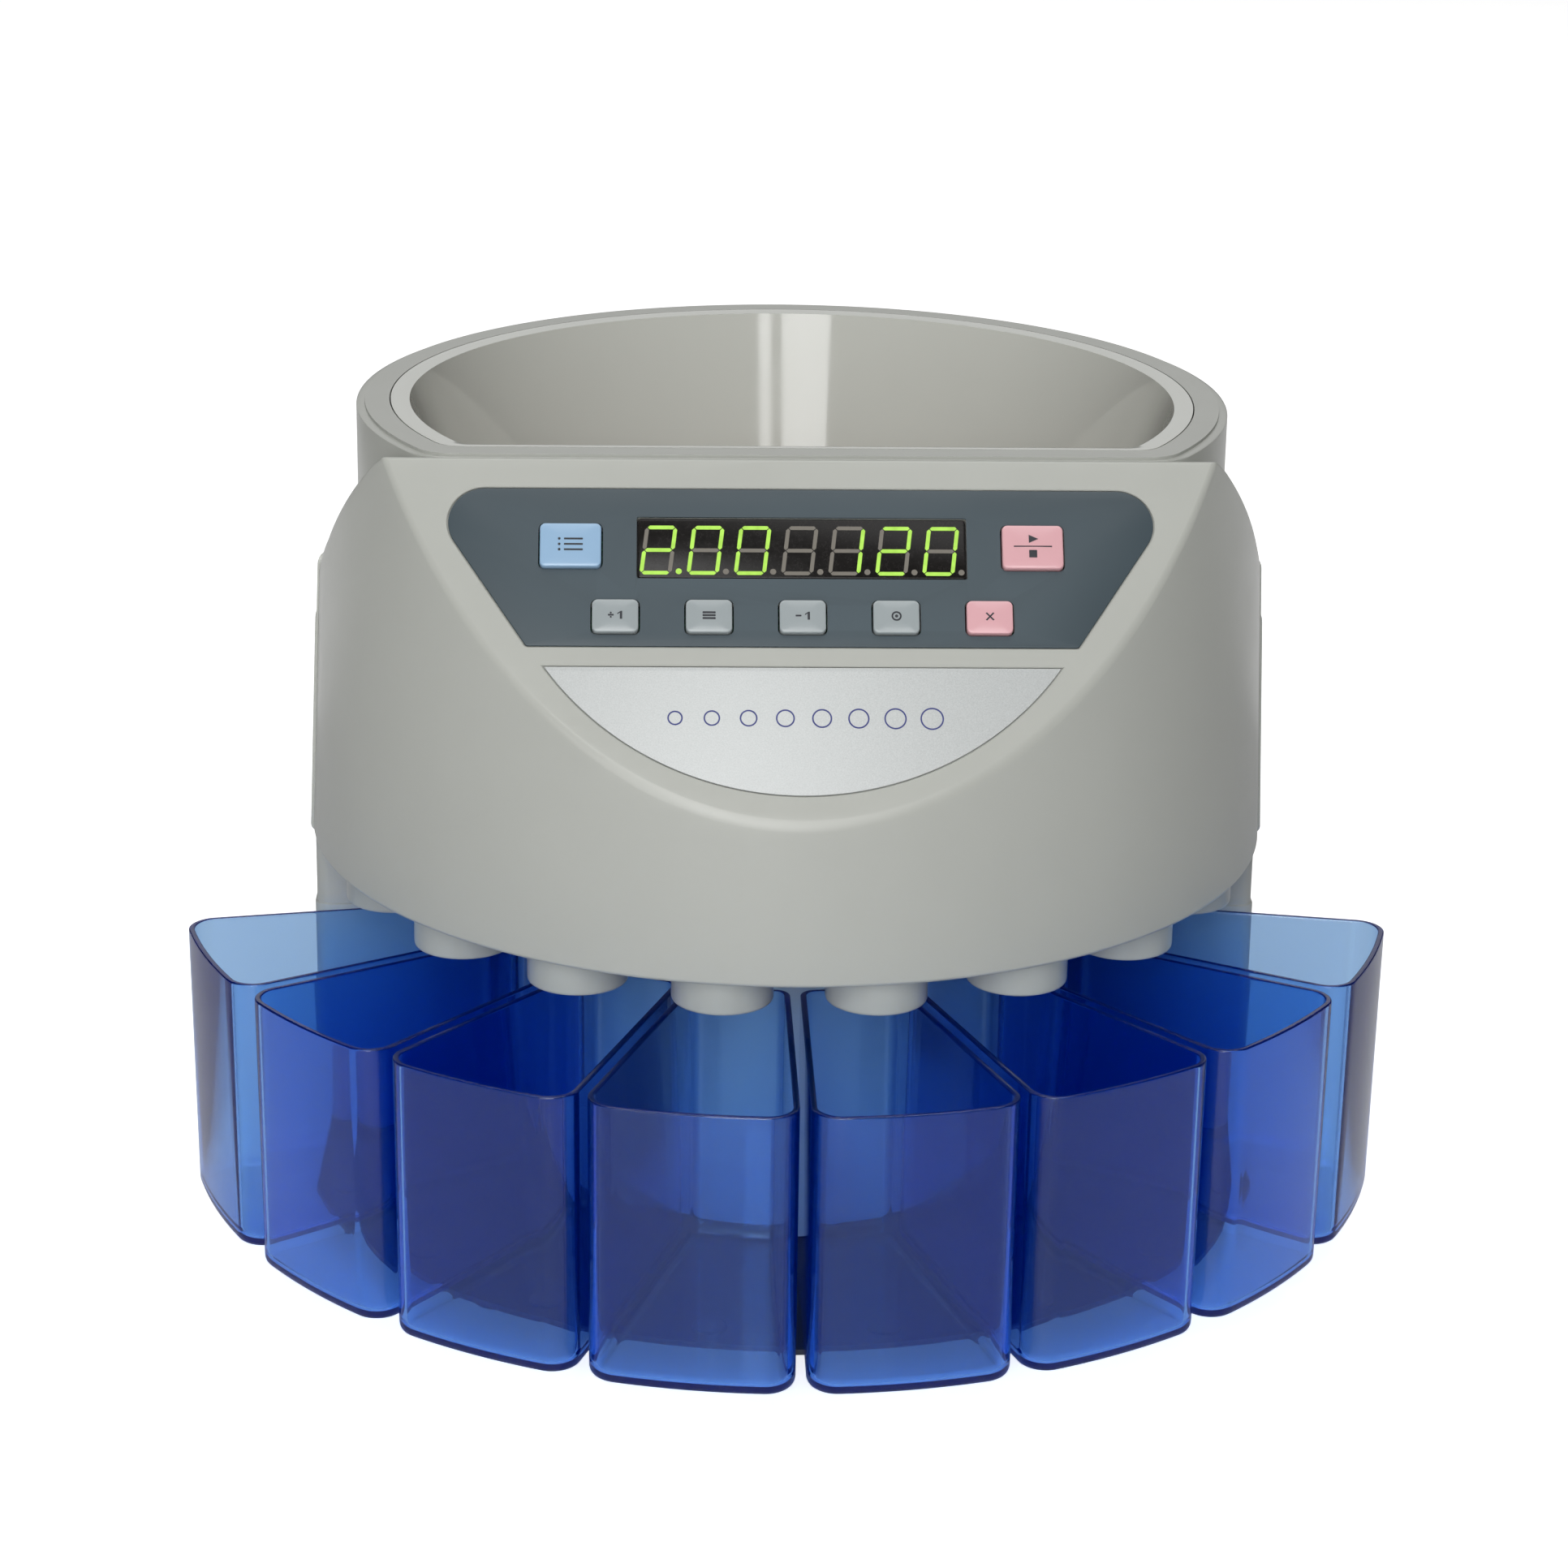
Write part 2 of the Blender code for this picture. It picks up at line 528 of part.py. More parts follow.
# ---- the control panel ------------------------------------------------------------------------------------
KEYS = [("key_upper_left", -BIG_KEY_X, BIG_KEY_V, BIG_KEY_SIZE, "key_blue"),
        ("key_upper_right", BIG_KEY_X, BIG_KEY_V, BIG_KEY_SIZE, "key_pink")]
KEYS += [(f"key_lower_{i + 1}", (i - 2) * SMALL_KEY_PITCH, SMALL_KEY_V, SMALL_KEY_SIZE,
          "key_pink" if i == 4 else "key_grey") for i in range(5)]


def panel_outline(inset):
    """The slate panel: a trapezoid with wide round corners at the top."""
    slope = (PANEL_TOP_X - PANEL_BOTTOM_X) / (PANEL_BOTTOM_V - PANEL_TOP_V)
    lean = math.atan(slope)
    corner, small = PANEL_CORNER_R - inset, 0.0012
    top, bottom = -PANEL_TOP_V - inset, -PANEL_BOTTOM_V + inset

    def side(y):
        return PANEL_TOP_X + slope * (y + PANEL_TOP_V) - inset / math.cos(lean)

    cx = side(top - corner) - corner / math.cos(lean)
    bx = side(bottom + small) - small / math.cos(lean)
    points = arc(bx, bottom + small, small, -math.pi / 2, -lean, 2)
    points += arc(cx, top - corner, corner, -lean, math.pi / 2, 8)
    points += [(-x, y) for x, y in reversed(points)]
    return points


def badge_outline(inset):
    """The silver inlay: a circle segment hanging from a straight top edge."""
    radius = BADGE_RADIUS - inset
    centre = -(BADGE_TIP_V - BADGE_RADIUS)
    top = -BADGE_TOP_V - inset
    turn = math.acos((centre - top) / radius)
    return arc(0, centre, radius, -math.pi / 2 - turn, -math.pi / 2 + turn, 40)


def window_prism(inset, z0, z1):
    width, height = WINDOW_SIZE
    bm = prism(rounded_box(width - 2 * inset, height - 2 * inset, 0.0006, 2), z0, z1)
    bmesh.ops.translate(bm, verts=bm.verts, vec=(0, -WINDOW_V, 0))
    return bm


def key_prism(size, inset, z0, z1, x=0.0, v=0.0):
    bm = prism(rounded_box(size[0] - 2 * inset, size[1] - 2 * inset, 0.0018), z0, z1)
    bmesh.ops.translate(bm, verts=bm.verts, vec=(x, -v, 0))
    return bm


def key_cap(size):
    """A key with a low crown, drawn about the centre of its top."""
    levels = [(0.0004, -0.0058), (0.0004, 0.0006), (0.0009, 0.0013), (0.0022, 0.0018)]
    width, height = size
    loops = [at_height(rounded_box(width - 2 * i, height - 2 * i, max(0.0018 - i, 0.0010)), z) for i, z in levels]
    return loft(loops)


def make_panel(facet):
    panel_z = -INLAY_DEPTH + GAP
    panel = place("control_panel", prism(panel_outline(GAP), panel_z, panel_z + INLAY_T), "slate", facet)
    holes = [window_prism(0.0, -0.01, 0.01)]
    holes += [key_prism(size, 0.0, -0.01, 0.01, x, v) for _, x, v, size, _ in KEYS]
    boolean(panel, merged(holes), facet)
    place("badge_inlay", prism(badge_outline(GAP), panel_z, panel_z + INLAY_T), "silver_foil", facet)
    place("display_window", window_prism(0.0004, -0.0030, -0.0004), "smoked_lens", facet)
    for name, x, v, size, finish in KEYS:
        place(name, key_cap(size), finish, facet, (x, -v, 0))
    module = prism(rounded_box(0.0940, 0.0190, 0.0005, 1), -0.0098, -0.0034)
    place("display_module", module, "black_plastic", facet, (0, -WINDOW_V, 0))
    board_top, board_bottom = 0.0170, 0.0560
    board = place("key_board", block((0.1500, board_bottom - board_top, 0.0016),
                                     (0, -(board_top + board_bottom) / 2, -0.0110)), "board_green", facet)
    switches = [turned([(0.0028, -0.0110), (0.0028, -0.0090), (0.0016, -0.0090), (0.0016, -0.0071)], 12, x, -v)
                for _, x, v, _, _ in KEYS]
    boolean(board, merged(switches), facet, "UNION")


# ---- the hopper ---------------------------------------------------------------------------------------
def make_collar(axis):
    skirt = HOPPER_R - 0.0025
    rings = [(HOPPER_R, COLLAR_CHORD, BOWL_Z), (HOPPER_R, COLLAR_CHORD, RIM_Z - 0.0060),
             (HOPPER_R - 0.0007, COLLAR_CHORD, RIM_Z - 0.0026), (HOPPER_R - 0.0025, COLLAR_CHORD, RIM_Z - 0.0006),
             (HOPPER_R - 0.0048, COLLAR_CHORD - 0.0006, RIM_Z), (0.1186, 0.0644, RIM_Z),
             (0.1186, 0.0644, RIM_Z - 0.0044), (0.1152, 0.0644, RIM_Z - 0.0044),
             (0.1152, 0.0644, RIM_Z - 0.0068), (skirt, COLLAR_CHORD - 0.0025, RIM_Z - 0.0068),
             (skirt, COLLAR_CHORD - 0.0025, BOWL_Z)]
    loops = [at_height(cut_circle(r, h, 0.0095 if r < skirt else 0.012), z) for r, h, z in rings]
    place("hopper_collar", loft(loops, closed_ring=True), "shell_grey", axis)


def make_bowl(axis):
    rings = [(BOWL_R_LOW, BOWL_CHORD - 0.0004, BOWL_Z), (BOWL_R, BOWL_CHORD, RIM_Z - 0.0045),
             (BOWL_R + 0.0012, BOWL_CHORD - 0.0002, RIM_Z - 0.0008),
             (BOWL_R + 0.0022, BOWL_CHORD + 0.0004, RIM_Z), (0.1182, 0.0640, RIM_Z),
             (0.1182, 0.0640, RIM_Z - 0.0040), (0.1140, 0.0640, RIM_Z - 0.0040),
             (BOWL_R_LOW + 0.0028, BOWL_CHORD + 0.0021, BOWL_Z)]
    loops = [at_height(cut_circle(r, h, 0.0090 if h > BOWL_CHORD + 0.0025 else 0.0060), z) for r, h, z in rings]
    place("hopper_bowl", loft(loops, closed_ring=True), "shell_grey", axis)


# ---- the sorting works ------------------------------------------------------------------------------------
def make_sorter(axis):
    """Chassis, slotted ring, guide rail and the turning disc with its mat and cone."""
    chassis = place("sorter_chassis", prism(circle(0.1380, 64), CHASSIS_Z, CHASSIS_Z + CHASSIS_T),
                    "zinc_plate", axis)
    holes = [prism(circle(SPOUT_IN, 18, *on_fan(SPOUT_R, bin_angle(i))), CHASSIS_Z - 0.01, CHASSIS_Z + 0.02)
             for i in range(BIN_COUNT)]
    holes.append(prism(circle(0.0113, 24), CHASSIS_Z - 0.01, CHASSIS_Z + 0.02))
    boolean(chassis, merged(holes), axis)

    z0 = CHASSIS_Z + CHASSIS_T + GAP
    z1 = DISC_Z + DISC_T - GAP
    ring = place("sorting_ring", tube(0.1350, DISC_R + 0.0008, z0, z1, 64), "steel", axis)
    slots = []
    for i in range(BIN_COUNT):
        depth = 0.0075 + 0.0018 * i
        outline = rounded_box(0.0200, depth, 0.0020)
        bm = prism([(x, y - depth / 2) for x, y in outline], z0 - 0.01, z1 + 0.01)
        bmesh.ops.translate(bm, verts=bm.verts, vec=(0, -0.1130, 0))
        bmesh.ops.rotate(bm, verts=bm.verts, matrix=Matrix.Rotation(bin_angle(i), 3, "Z"))
        slots.append(bm)
    boolean(ring, merged(slots), axis)
    place("guide_rail", tube(0.1368, 0.1353, z0, z1 + 0.0045, 64), "steel", axis)

    spin = empty("disc_axis", axis)
    bore = SHAFT_R + 0.00005
    place("feed_disc", turned([(bore, DISC_Z - 0.0004), (0.0100, DISC_Z - 0.0004), (0.0110, DISC_Z),
                               (DISC_R, DISC_Z), (DISC_R, DISC_Z + DISC_T), (bore, DISC_Z + DISC_T)], 48,
                              hollow=True), "disc_white", spin)
    mat_z = DISC_Z + DISC_T + GAP
    place("disc_mat", tube(0.0880, 0.0225, mat_z, mat_z + 0.0016, 48), "mat_orange", spin)
    place("disc_cone", turned([(0.0220, mat_z), (0.0220, mat_z + 0.0030), (0.0170, mat_z + 0.0100),
                               (0.0090, mat_z + 0.0165), (0.0030, mat_z + 0.0185)], 28), "disc_white", spin)


def make_drive(axis):
    """Shaft, bearings and pulleys on the disc's axis, and the motor behind it."""
    spin = bpy.data.objects["disc_axis"]
    place("drive_shaft", turned([(SHAFT_R - 0.0004, 0.1065), (SHAFT_R, 0.1069),
                                 (SHAFT_R, DISC_Z + DISC_T - 0.0002)], 24), "steel", spin)
    place("bearing_housing", turned([(0.0113, 0.1250), (0.0145, 0.1250), (0.0145, 0.1465), (0.0220, 0.1465),
                                     (0.0220, CHASSIS_Z - GAP), (0.0113, CHASSIS_Z - GAP)], 24, hollow=True),
          "zinc_plate", axis)
    for name, z in (("lower_bearing", 0.1265), ("upper_bearing", 0.1455)):
        place(name, tube(0.0110, SHAFT_R + 0.00008, z, z + 0.0070, 24), "steel", axis)
    low, high = PULLEY_Z, PULLEY_Z + PULLEY_T
    place("disc_pulley", pulley(DISC_PULLEY_R, SHAFT_R + 0.00005, low, high, 32), "black_plastic", spin)
    turn = empty("motor_axis", axis, (0, MOTOR_Y, 0))
    place("motor_pulley", pulley(MOTOR_PULLEY_R, 0.00305, low, high, 20), "black_plastic", turn)
    place("motor_shaft", turned([(0.0030, 0.1003), (0.0030, high + 0.0010)], 16), "steel", turn)
    place("drive_belt", belt(), "black_rubber", axis)
    place("drive_motor", turned([(0.0180, 0.0400), (0.0260, 0.0405), (0.0260, 0.0960), (0.0100, 0.0962),
                                 (0.0100, 0.1000)], 28), "motor_can", axis, (0, MOTOR_Y, 0))
    make_bracket(axis, 0.0965, HEAD_Z + 0.0020 - GAP)


def make_bracket(axis, low, high):
    """A hat-shaped bracket: a plate that carries the motor, two legs, and two feet under the tray."""
    wall, half, foot, half_length = 0.0025, 0.0350, 0.0525, 0.0260
    profile = [(-foot, high), (-foot, high - wall), (-half, high - wall), (-half, low), (half, low),
               (half, high - wall), (foot, high - wall), (foot, high), (half - wall, high),
               (half - wall, low + wall), (-half + wall, low + wall), (-half + wall, high)]
    hat = loft([[(x, y, z) for x, z in profile] for y in (-half_length, half_length)])
    bracket = place("motor_bracket", hat, "zinc_plate", axis, (0, MOTOR_Y, 0))
    boolean(bracket, turned([(0.0104, low - 0.01), (0.0104, low + 0.01)], 20, 0, MOTOR_Y), axis)


def pulley(radius, bore, z0, z1, segments):
    """A flanged belt pulley with its bore."""
    lip = 0.0015
    profile = [(bore, z0), (radius + 0.0018, z0), (radius + 0.0018, z0 + lip), (radius, z0 + lip),
               (radius, z1 - lip), (radius + 0.0018, z1 - lip), (radius + 0.0018, z1), (bore, z1)]
    return turned(profile, segments, hollow=True)


def belt():
    """A flat belt round both pulleys, drawn as the two arcs and the straight runs between them."""
    lean = math.asin((DISC_PULLEY_R - MOTOR_PULLEY_R) / MOTOR_Y)
    loops = []
    for offset, z in ((0.0002, PULLEY_Z + 0.0019), (0.0002, PULLEY_Z + PULLEY_T - 0.0019),
                      (0.0014, PULLEY_Z + PULLEY_T - 0.0019), (0.0014, PULLEY_Z + 0.0019)):
        outline = arc(0, MOTOR_Y, MOTOR_PULLEY_R + offset, lean, math.pi - lean, 8)
        outline += arc(0, 0, DISC_PULLEY_R + offset, math.pi - lean, 2 * math.pi + lean, 24)
        loops.append(at_height(outline, z))
    return loft(loops, closed_ring=True)


# ---- electrics --------------------------------------------------------------------------------------------
def make_electrics(axis):
    sensors = arc(0, 0, 0.1080, math.radians(190), math.radians(350), 20)
    sensors += arc(0, 0, 0.0960, math.radians(350), math.radians(190), 20)
    place("sensor_board", prism(sensors, 0.1470, 0.1486), "board_green", axis)

    floor = BASE_Z + BASE_T + GAP
    board = place("main_board", block((0.0760, 0.0900, 0.0016), (0.0920, 0.0600, floor + 0.0086)),
                  "board_green", axis)
    fitted = [turned([(0.0030, floor), (0.0030, floor + 0.0082)], 10, x, y)
              for x in (0.0590, 0.1250) for y in (0.0200, 0.1000)]
    fitted += [turned([(0.0063, floor + 0.0090), (0.0063, floor + 0.0290)], 16, 0.0700, y) for y in (0.0850, 0.0680)]
    fitted += [block((0.0280, 0.0100, 0.0032), (0.0950, 0.0550, floor + 0.0105)),
               block((0.0180, 0.0060, 0.0200), (0.1080, 0.0880, floor + 0.0190)),
               block((0.0300, 0.0070, 0.0090), (0.0950, 0.0230, floor + 0.0135))]
    boolean(board, merged(fitted), axis, "UNION")

    core = place("transformer", block((0.0560, 0.0200, 0.0480), (-0.0900, 0.0700, floor + 0.0240)),
                 "transformer_iron", axis)
    boolean(core, prism([(x - 0.0900, y + 0.0700) for x, y in rounded_box(0.0300, 0.0420, 0.006)],
                        floor + 0.0090, floor + 0.0390), axis, "UNION")
    boolean(core, block((0.0760, 0.0140, 0.0020), (-0.0900, 0.0700, floor + 0.0010)), axis, "UNION")


# ---- fasteners --------------------------------------------------------------------------------------------
def make_screws(axis):
    """Two screws in the back hold the rear cover."""
    for i, x in enumerate((-0.0700, 0.0700)):
        bm = turned([(0.0030, 0.0), (0.0042, 0.0010), (0.0042, 0.0013), (0.0028, 0.0024)], 20)
        bmesh.ops.rotate(bm, verts=bm.verts, matrix=Matrix.Rotation(-math.pi / 2, 3, "X"))
        z = HEAD_Z + 0.0120
        back = BACK_Y - HEAD_DRAFT * (z - HEAD_Z) + 0.0006
        screw = place(f"cover_screw_{i + 1}", bm, "steel", axis, (x, back, z))
        cross = [block((0.0042, 0.0024, 0.0009), (0, 0.0024, 0)), block((0.0009, 0.0024, 0.0042), (0, 0.0024, 0))]
        for arm in cross:
            boolean(screw, arm, screw)


# ---- bins ---------------------------------------------------------------------------------------------------
def make_bins(axis):
    top_r, low_r = BIN_R, BIN_R - BIN_DRAFT
    floor = BIN_WALL
    levels = [(0.0030, low_r, 0.0), (0.0008, low_r, 0.0009), (0.0, low_r, 0.0032), (0.0, top_r, BIN_H),
              (BIN_WALL, top_r, BIN_H), (BIN_WALL + 0.0002, low_r, floor + 0.0030),
              (BIN_WALL + 0.0030, low_r, floor)]
    for i in range(BIN_COUNT):
        loops = [at_height(bin_outline(inset, radius), z) for inset, radius, z in levels]
        place(f"coin_bin_{i + 1}", loft(loops), "bin_blue", axis, (0, 0, BIN_Z), (0, 0, bin_angle(i)))


def build():
    clear_scene()
    axis = empty("drum_axis", None, (0, AXIS_Y, 0))
    facet = empty("panel_face", axis, (0, FACET_TOP_Y, FACET_TOP_Z), (FACET_ANGLE, 0, 0))
    make_base(axis)
    make_column(axis)
    make_sockets(axis)
    make_front_cover(axis, facet)
    make_rear_cover(axis)
    make_outlet_tray(axis)
    make_panel(facet)
    make_collar(axis)
    make_bowl(axis)
    make_sorter(axis)
    make_drive(axis)
    make_electrics(axis)
    make_screws(axis)
    make_bins(axis)


build()
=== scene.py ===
"""Looks of the coin sorting machine: finer covers, hopper, bins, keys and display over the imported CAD."""
import math

import bmesh
import bpy
import numpy as np
from mathutils import Matrix, Vector


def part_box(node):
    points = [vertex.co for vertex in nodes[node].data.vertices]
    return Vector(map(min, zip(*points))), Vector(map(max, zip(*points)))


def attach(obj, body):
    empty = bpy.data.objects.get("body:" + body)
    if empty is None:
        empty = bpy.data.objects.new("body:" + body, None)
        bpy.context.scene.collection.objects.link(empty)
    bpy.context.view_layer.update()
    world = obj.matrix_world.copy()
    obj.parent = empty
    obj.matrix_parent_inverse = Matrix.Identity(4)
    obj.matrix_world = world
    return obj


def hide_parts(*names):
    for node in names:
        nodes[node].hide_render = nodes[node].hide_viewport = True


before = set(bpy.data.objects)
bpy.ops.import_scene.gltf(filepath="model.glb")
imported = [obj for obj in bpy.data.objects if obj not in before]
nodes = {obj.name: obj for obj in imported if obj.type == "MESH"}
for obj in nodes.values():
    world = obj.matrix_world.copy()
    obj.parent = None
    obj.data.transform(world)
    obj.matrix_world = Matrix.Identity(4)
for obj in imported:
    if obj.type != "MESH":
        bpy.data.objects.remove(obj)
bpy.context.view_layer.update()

# ---- places, read from the CAD -----------------------------------------------------------------------
disc_low, disc_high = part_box("feed_disc")
AXIS_Y = (disc_low.y + disc_high.y) / 2
HEAD_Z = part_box("front_cover")[0].z
RIM_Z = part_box("hopper_collar")[1].z
HOPPER_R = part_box("hopper_collar")[1].x
HEAD_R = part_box("rear_cover")[1].x
BACK_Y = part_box("rear_cover")[1].y - AXIS_Y
SEAM_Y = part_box("rear_cover")[0].y - AXIS_Y - 0.0003
BIN_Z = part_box("coin_bin_1")[0].z
BIN_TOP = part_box("coin_bin_1")[1].z
COLUMN_Z0, COLUMN_Z1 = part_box("column_shell")[0].z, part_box("column_shell")[1].z

# ---- shape, as in the CAD source ---------------------------------------------------------------------
HEAD_DRAFT = 0.043
WALL = 0.0028
FACET_TOP_Y, FACET_TOP_Z, FACET_SLOPE = -0.0755, 0.2492, 1.2688
FACET_ANGLE = math.atan(FACET_SLOPE)
RIDGE_Y, RIDGE_FALL = -0.0740, 0.78
SHOULDER_Z, SHOULDER_FALL = 0.2080, 0.66
DECK_Z, WEDGE_INSET = 0.1900, 0.0004
COLLAR_CHORD = 0.0725
BOWL_R, BOWL_CHORD, BOWL_R_LOW, BOWL_Z = 0.1125, 0.0612, 0.0745, 0.1645
BACK_CORNER = 0.050
COLUMN_X, PEDESTAL_R = 0.1433, 0.0796
BIN_R, BIN_DRAFT, BIN_R_IN, BIN_WALL = 0.1836, 0.0008, 0.0918, 0.0018
BIN_PITCH, BIN_HALF_GAP, BIN_COUNT = math.radians(19.75), 0.0014, 8
SPOUT_R, SPOUT_OUT, SPOUT_IN = 0.1250, 0.0143, 0.0123
PANEL_TOP_V, PANEL_BOTTOM_V = 0.0081, 0.0554
PANEL_TOP_X, PANEL_BOTTOM_X, PANEL_CORNER_R = 0.1068, 0.0759, 0.0105
WINDOW_V, WINDOW_SIZE = 0.02595, (0.0912, 0.0183)
BIG_KEY = (0.0178, 0.0137)
SMALL_KEY = (0.0136, 0.0104)
KEYS = {"key_upper_left": (-0.0638, 0.0257, BIG_KEY), "key_upper_right": (0.0638, 0.0257, BIG_KEY)}
KEYS.update({f"key_lower_{i + 1}": ((i - 2) * 0.0257, 0.0466, SMALL_KEY) for i in range(5)})
BADGE_TOP_V, BADGE_TIP_V, BADGE_RADIUS = 0.0609, 0.0985, 0.0865
INLAY_DEPTH, INLAY_T, GAP = 0.0009, 0.0006, 0.0003

ABOUT_AXIS = Matrix.Translation((0, AXIS_Y, 0))
ON_FACE = Matrix.Translation((0, AXIS_Y + FACET_TOP_Y, FACET_TOP_Z)) @ Matrix.Rotation(FACET_ANGLE, 4, "X")


# ---- materials ---------------------------------------------------------------------------------------
class Nodes:
    """A small helper that adds nodes to a material and links them."""

    def __init__(self, name):
        self.mat = bpy.data.materials.new(name)
        self.mat.use_nodes = True
        self.tree = self.mat.node_tree
        self.shader = self.tree.nodes["Principled BSDF"]
        self.out = self.tree.nodes["Material Output"]
        self.coord = self.add("ShaderNodeTexCoord").outputs["Object"]

    def add(self, kind, **values):
        node = self.tree.nodes.new(kind)
        for key, value in values.items():
            setattr(node, key, value)
        return node

    def link(self, a, b):
        self.tree.links.new(a, b)

    def noise(self, scale, detail=2.0, rough=0.5, stretch=None):
        node = self.add("ShaderNodeTexNoise")
        node.inputs["Scale"].default_value = scale
        node.inputs["Detail"].default_value = detail
        node.inputs["Roughness"].default_value = rough
        source = self.coord
        if stretch:
            mapping = self.add("ShaderNodeMapping")
            mapping.inputs["Scale"].default_value = stretch
            self.link(source, mapping.inputs["Vector"])
            source = mapping.outputs["Vector"]
        self.link(source, node.inputs["Vector"])
        return node.outputs["Fac"]

    def ranged(self, value, low, high, from_low=0.3, from_high=0.7):
        node = self.add("ShaderNodeMapRange")
        node.inputs["From Min"].default_value = from_low
        node.inputs["From Max"].default_value = from_high
        node.inputs["To Min"].default_value = low
        node.inputs["To Max"].default_value = high
        self.link(value, node.inputs["Value"])
        return node.outputs["Result"]

    def mixed(self, fac, a, b):
        node = self.add("ShaderNodeMix", data_type="RGBA")
        for label, colour in (("A", a), ("B", b)):
            if hasattr(colour, "links"):
                self.link(colour, node.inputs[label])
            else:
                node.inputs[label].default_value = (*colour, 1)
        self.link(fac, node.inputs["Factor"])
        return node.outputs["Result"]

    def bump(self, height, strength, distance, below=None):
        node = self.add("ShaderNodeBump")
        node.inputs["Strength"].default_value = strength
        node.inputs["Distance"].default_value = distance
        self.link(height, node.inputs["Height"])
        if below is not None:
            self.link(below, node.inputs["Normal"])
        return node.outputs["Normal"]

    def edges(self, low=0.52, high=0.60):
        """1 on convex edges, 0 on flat faces."""
        geometry = self.add("ShaderNodeNewGeometry")
        return self.ranged(geometry.outputs["Pointiness"], 0.0, 1.0, low, high)

    def use(self, colour=None, roughness=None, normal=None, **fixed):
        if colour is not None:
            self.link(colour, self.shader.inputs["Base Color"])
        if roughness is not None:
            self.link(roughness, self.shader.inputs["Roughness"])
        if normal is not None:
            self.link(normal, self.shader.inputs["Normal"])
        for key, value in fixed.items():
            self.shader.inputs[key.replace("_", " ")].default_value = value
        return self.mat


def shade(colour, factor):
    return tuple(min(1.0, c * factor) for c in colour)


def plastic(name, colour, roughness, grain=900, grain_depth=0.00001, mottle=0.02, wear=1.05, **fixed):
    """Moulded plastic: a faint mottle, a fine moulded grain, uneven gloss and slightly paler edges."""
    n = Nodes(name)
    cloud = n.noise(14, 3.0, 0.6)
    base = n.mixed(n.ranged(cloud, 0, 1), shade(colour, 1 - mottle), shade(colour, 1 + mottle))
    worn = n.mixed(n.edges(), base, shade(colour, wear))
    smear = n.noise(55, 4.0, 0.65)
    rough = n.ranged(smear, roughness - 0.02, roughness + 0.03)
    peel = n.bump(n.noise(160, 2.0), 0.05, 0.00003)
    normal = n.bump(n.noise(grain, 3.0, 0.7), 0.25, grain_depth, peel)
    return n.use(worn, rough, normal, **fixed)


def metal(name, colour, roughness, brushed=(1, 1, 30), wear=1.15):
    n = Nodes(name)
    streak = n.noise(60, 4.0, 0.7, brushed)
    cloud = n.noise(30, 3.0)
    base = n.mixed(n.ranged(cloud, 0, 1), shade(colour, 0.92), shade(colour, 1.05))
    worn = n.mixed(n.edges(), base, shade(colour, wear))
    rough = n.ranged(streak, roughness - 0.07, roughness + 0.09)
    normal = n.bump(streak, 0.15, 0.00002)
    return n.use(worn, rough, normal, Metallic=1.0)


def foil():
    """The silver inlay: metallic paint with a fine sparkling grain."""
    n = Nodes("silver_inlay")
    grain = n.noise(2600, 2.0, 0.8)
    coarse = n.noise(900, 3.0, 0.7)
    tone = n.mixed(n.ranged(grain, 0, 1, 0.25, 0.75), (0.43, 0.450, 0.445), (0.62, 0.640, 0.635))
    soft = n.mixed(n.ranged(coarse, 0, 0.5), tone, (0.520, 0.540, 0.535))
    rough = n.ranged(grain, 0.34, 0.50)
    normal = n.bump(coarse, 0.30, 0.00003)
    return n.use(soft, rough, normal, Metallic=0.10)


def rubber(name, colour):
    n = Nodes(name)
    cloud = n.noise(90, 4.0, 0.7)
    base = n.mixed(n.ranged(cloud, 0, 1), shade(colour, 0.8), shade(colour, 1.5))
    rough = n.ranged(cloud, 0.72, 0.90)
    return n.use(base, rough, n.bump(n.noise(1500, 2.0), 0.4, 0.00004))


def board():
    """Green solder mask over copper tracks."""
    n = Nodes("circuit_board")
    brick = n.add("ShaderNodeTexBrick")
    brick.inputs["Scale"].default_value = 180
    brick.inputs["Mortar Size"].default_value = 0.03
    n.link(n.coord, brick.inputs["Vector"])
    base = n.mixed(brick.outputs["Fac"], (0.012, 0.11, 0.045), (0.030, 0.20, 0.085))
    rough = n.ranged(n.noise(200), 0.28, 0.45)
    return n.use(base, rough, n.bump(brick.outputs["Fac"], 0.3, 0.00004))


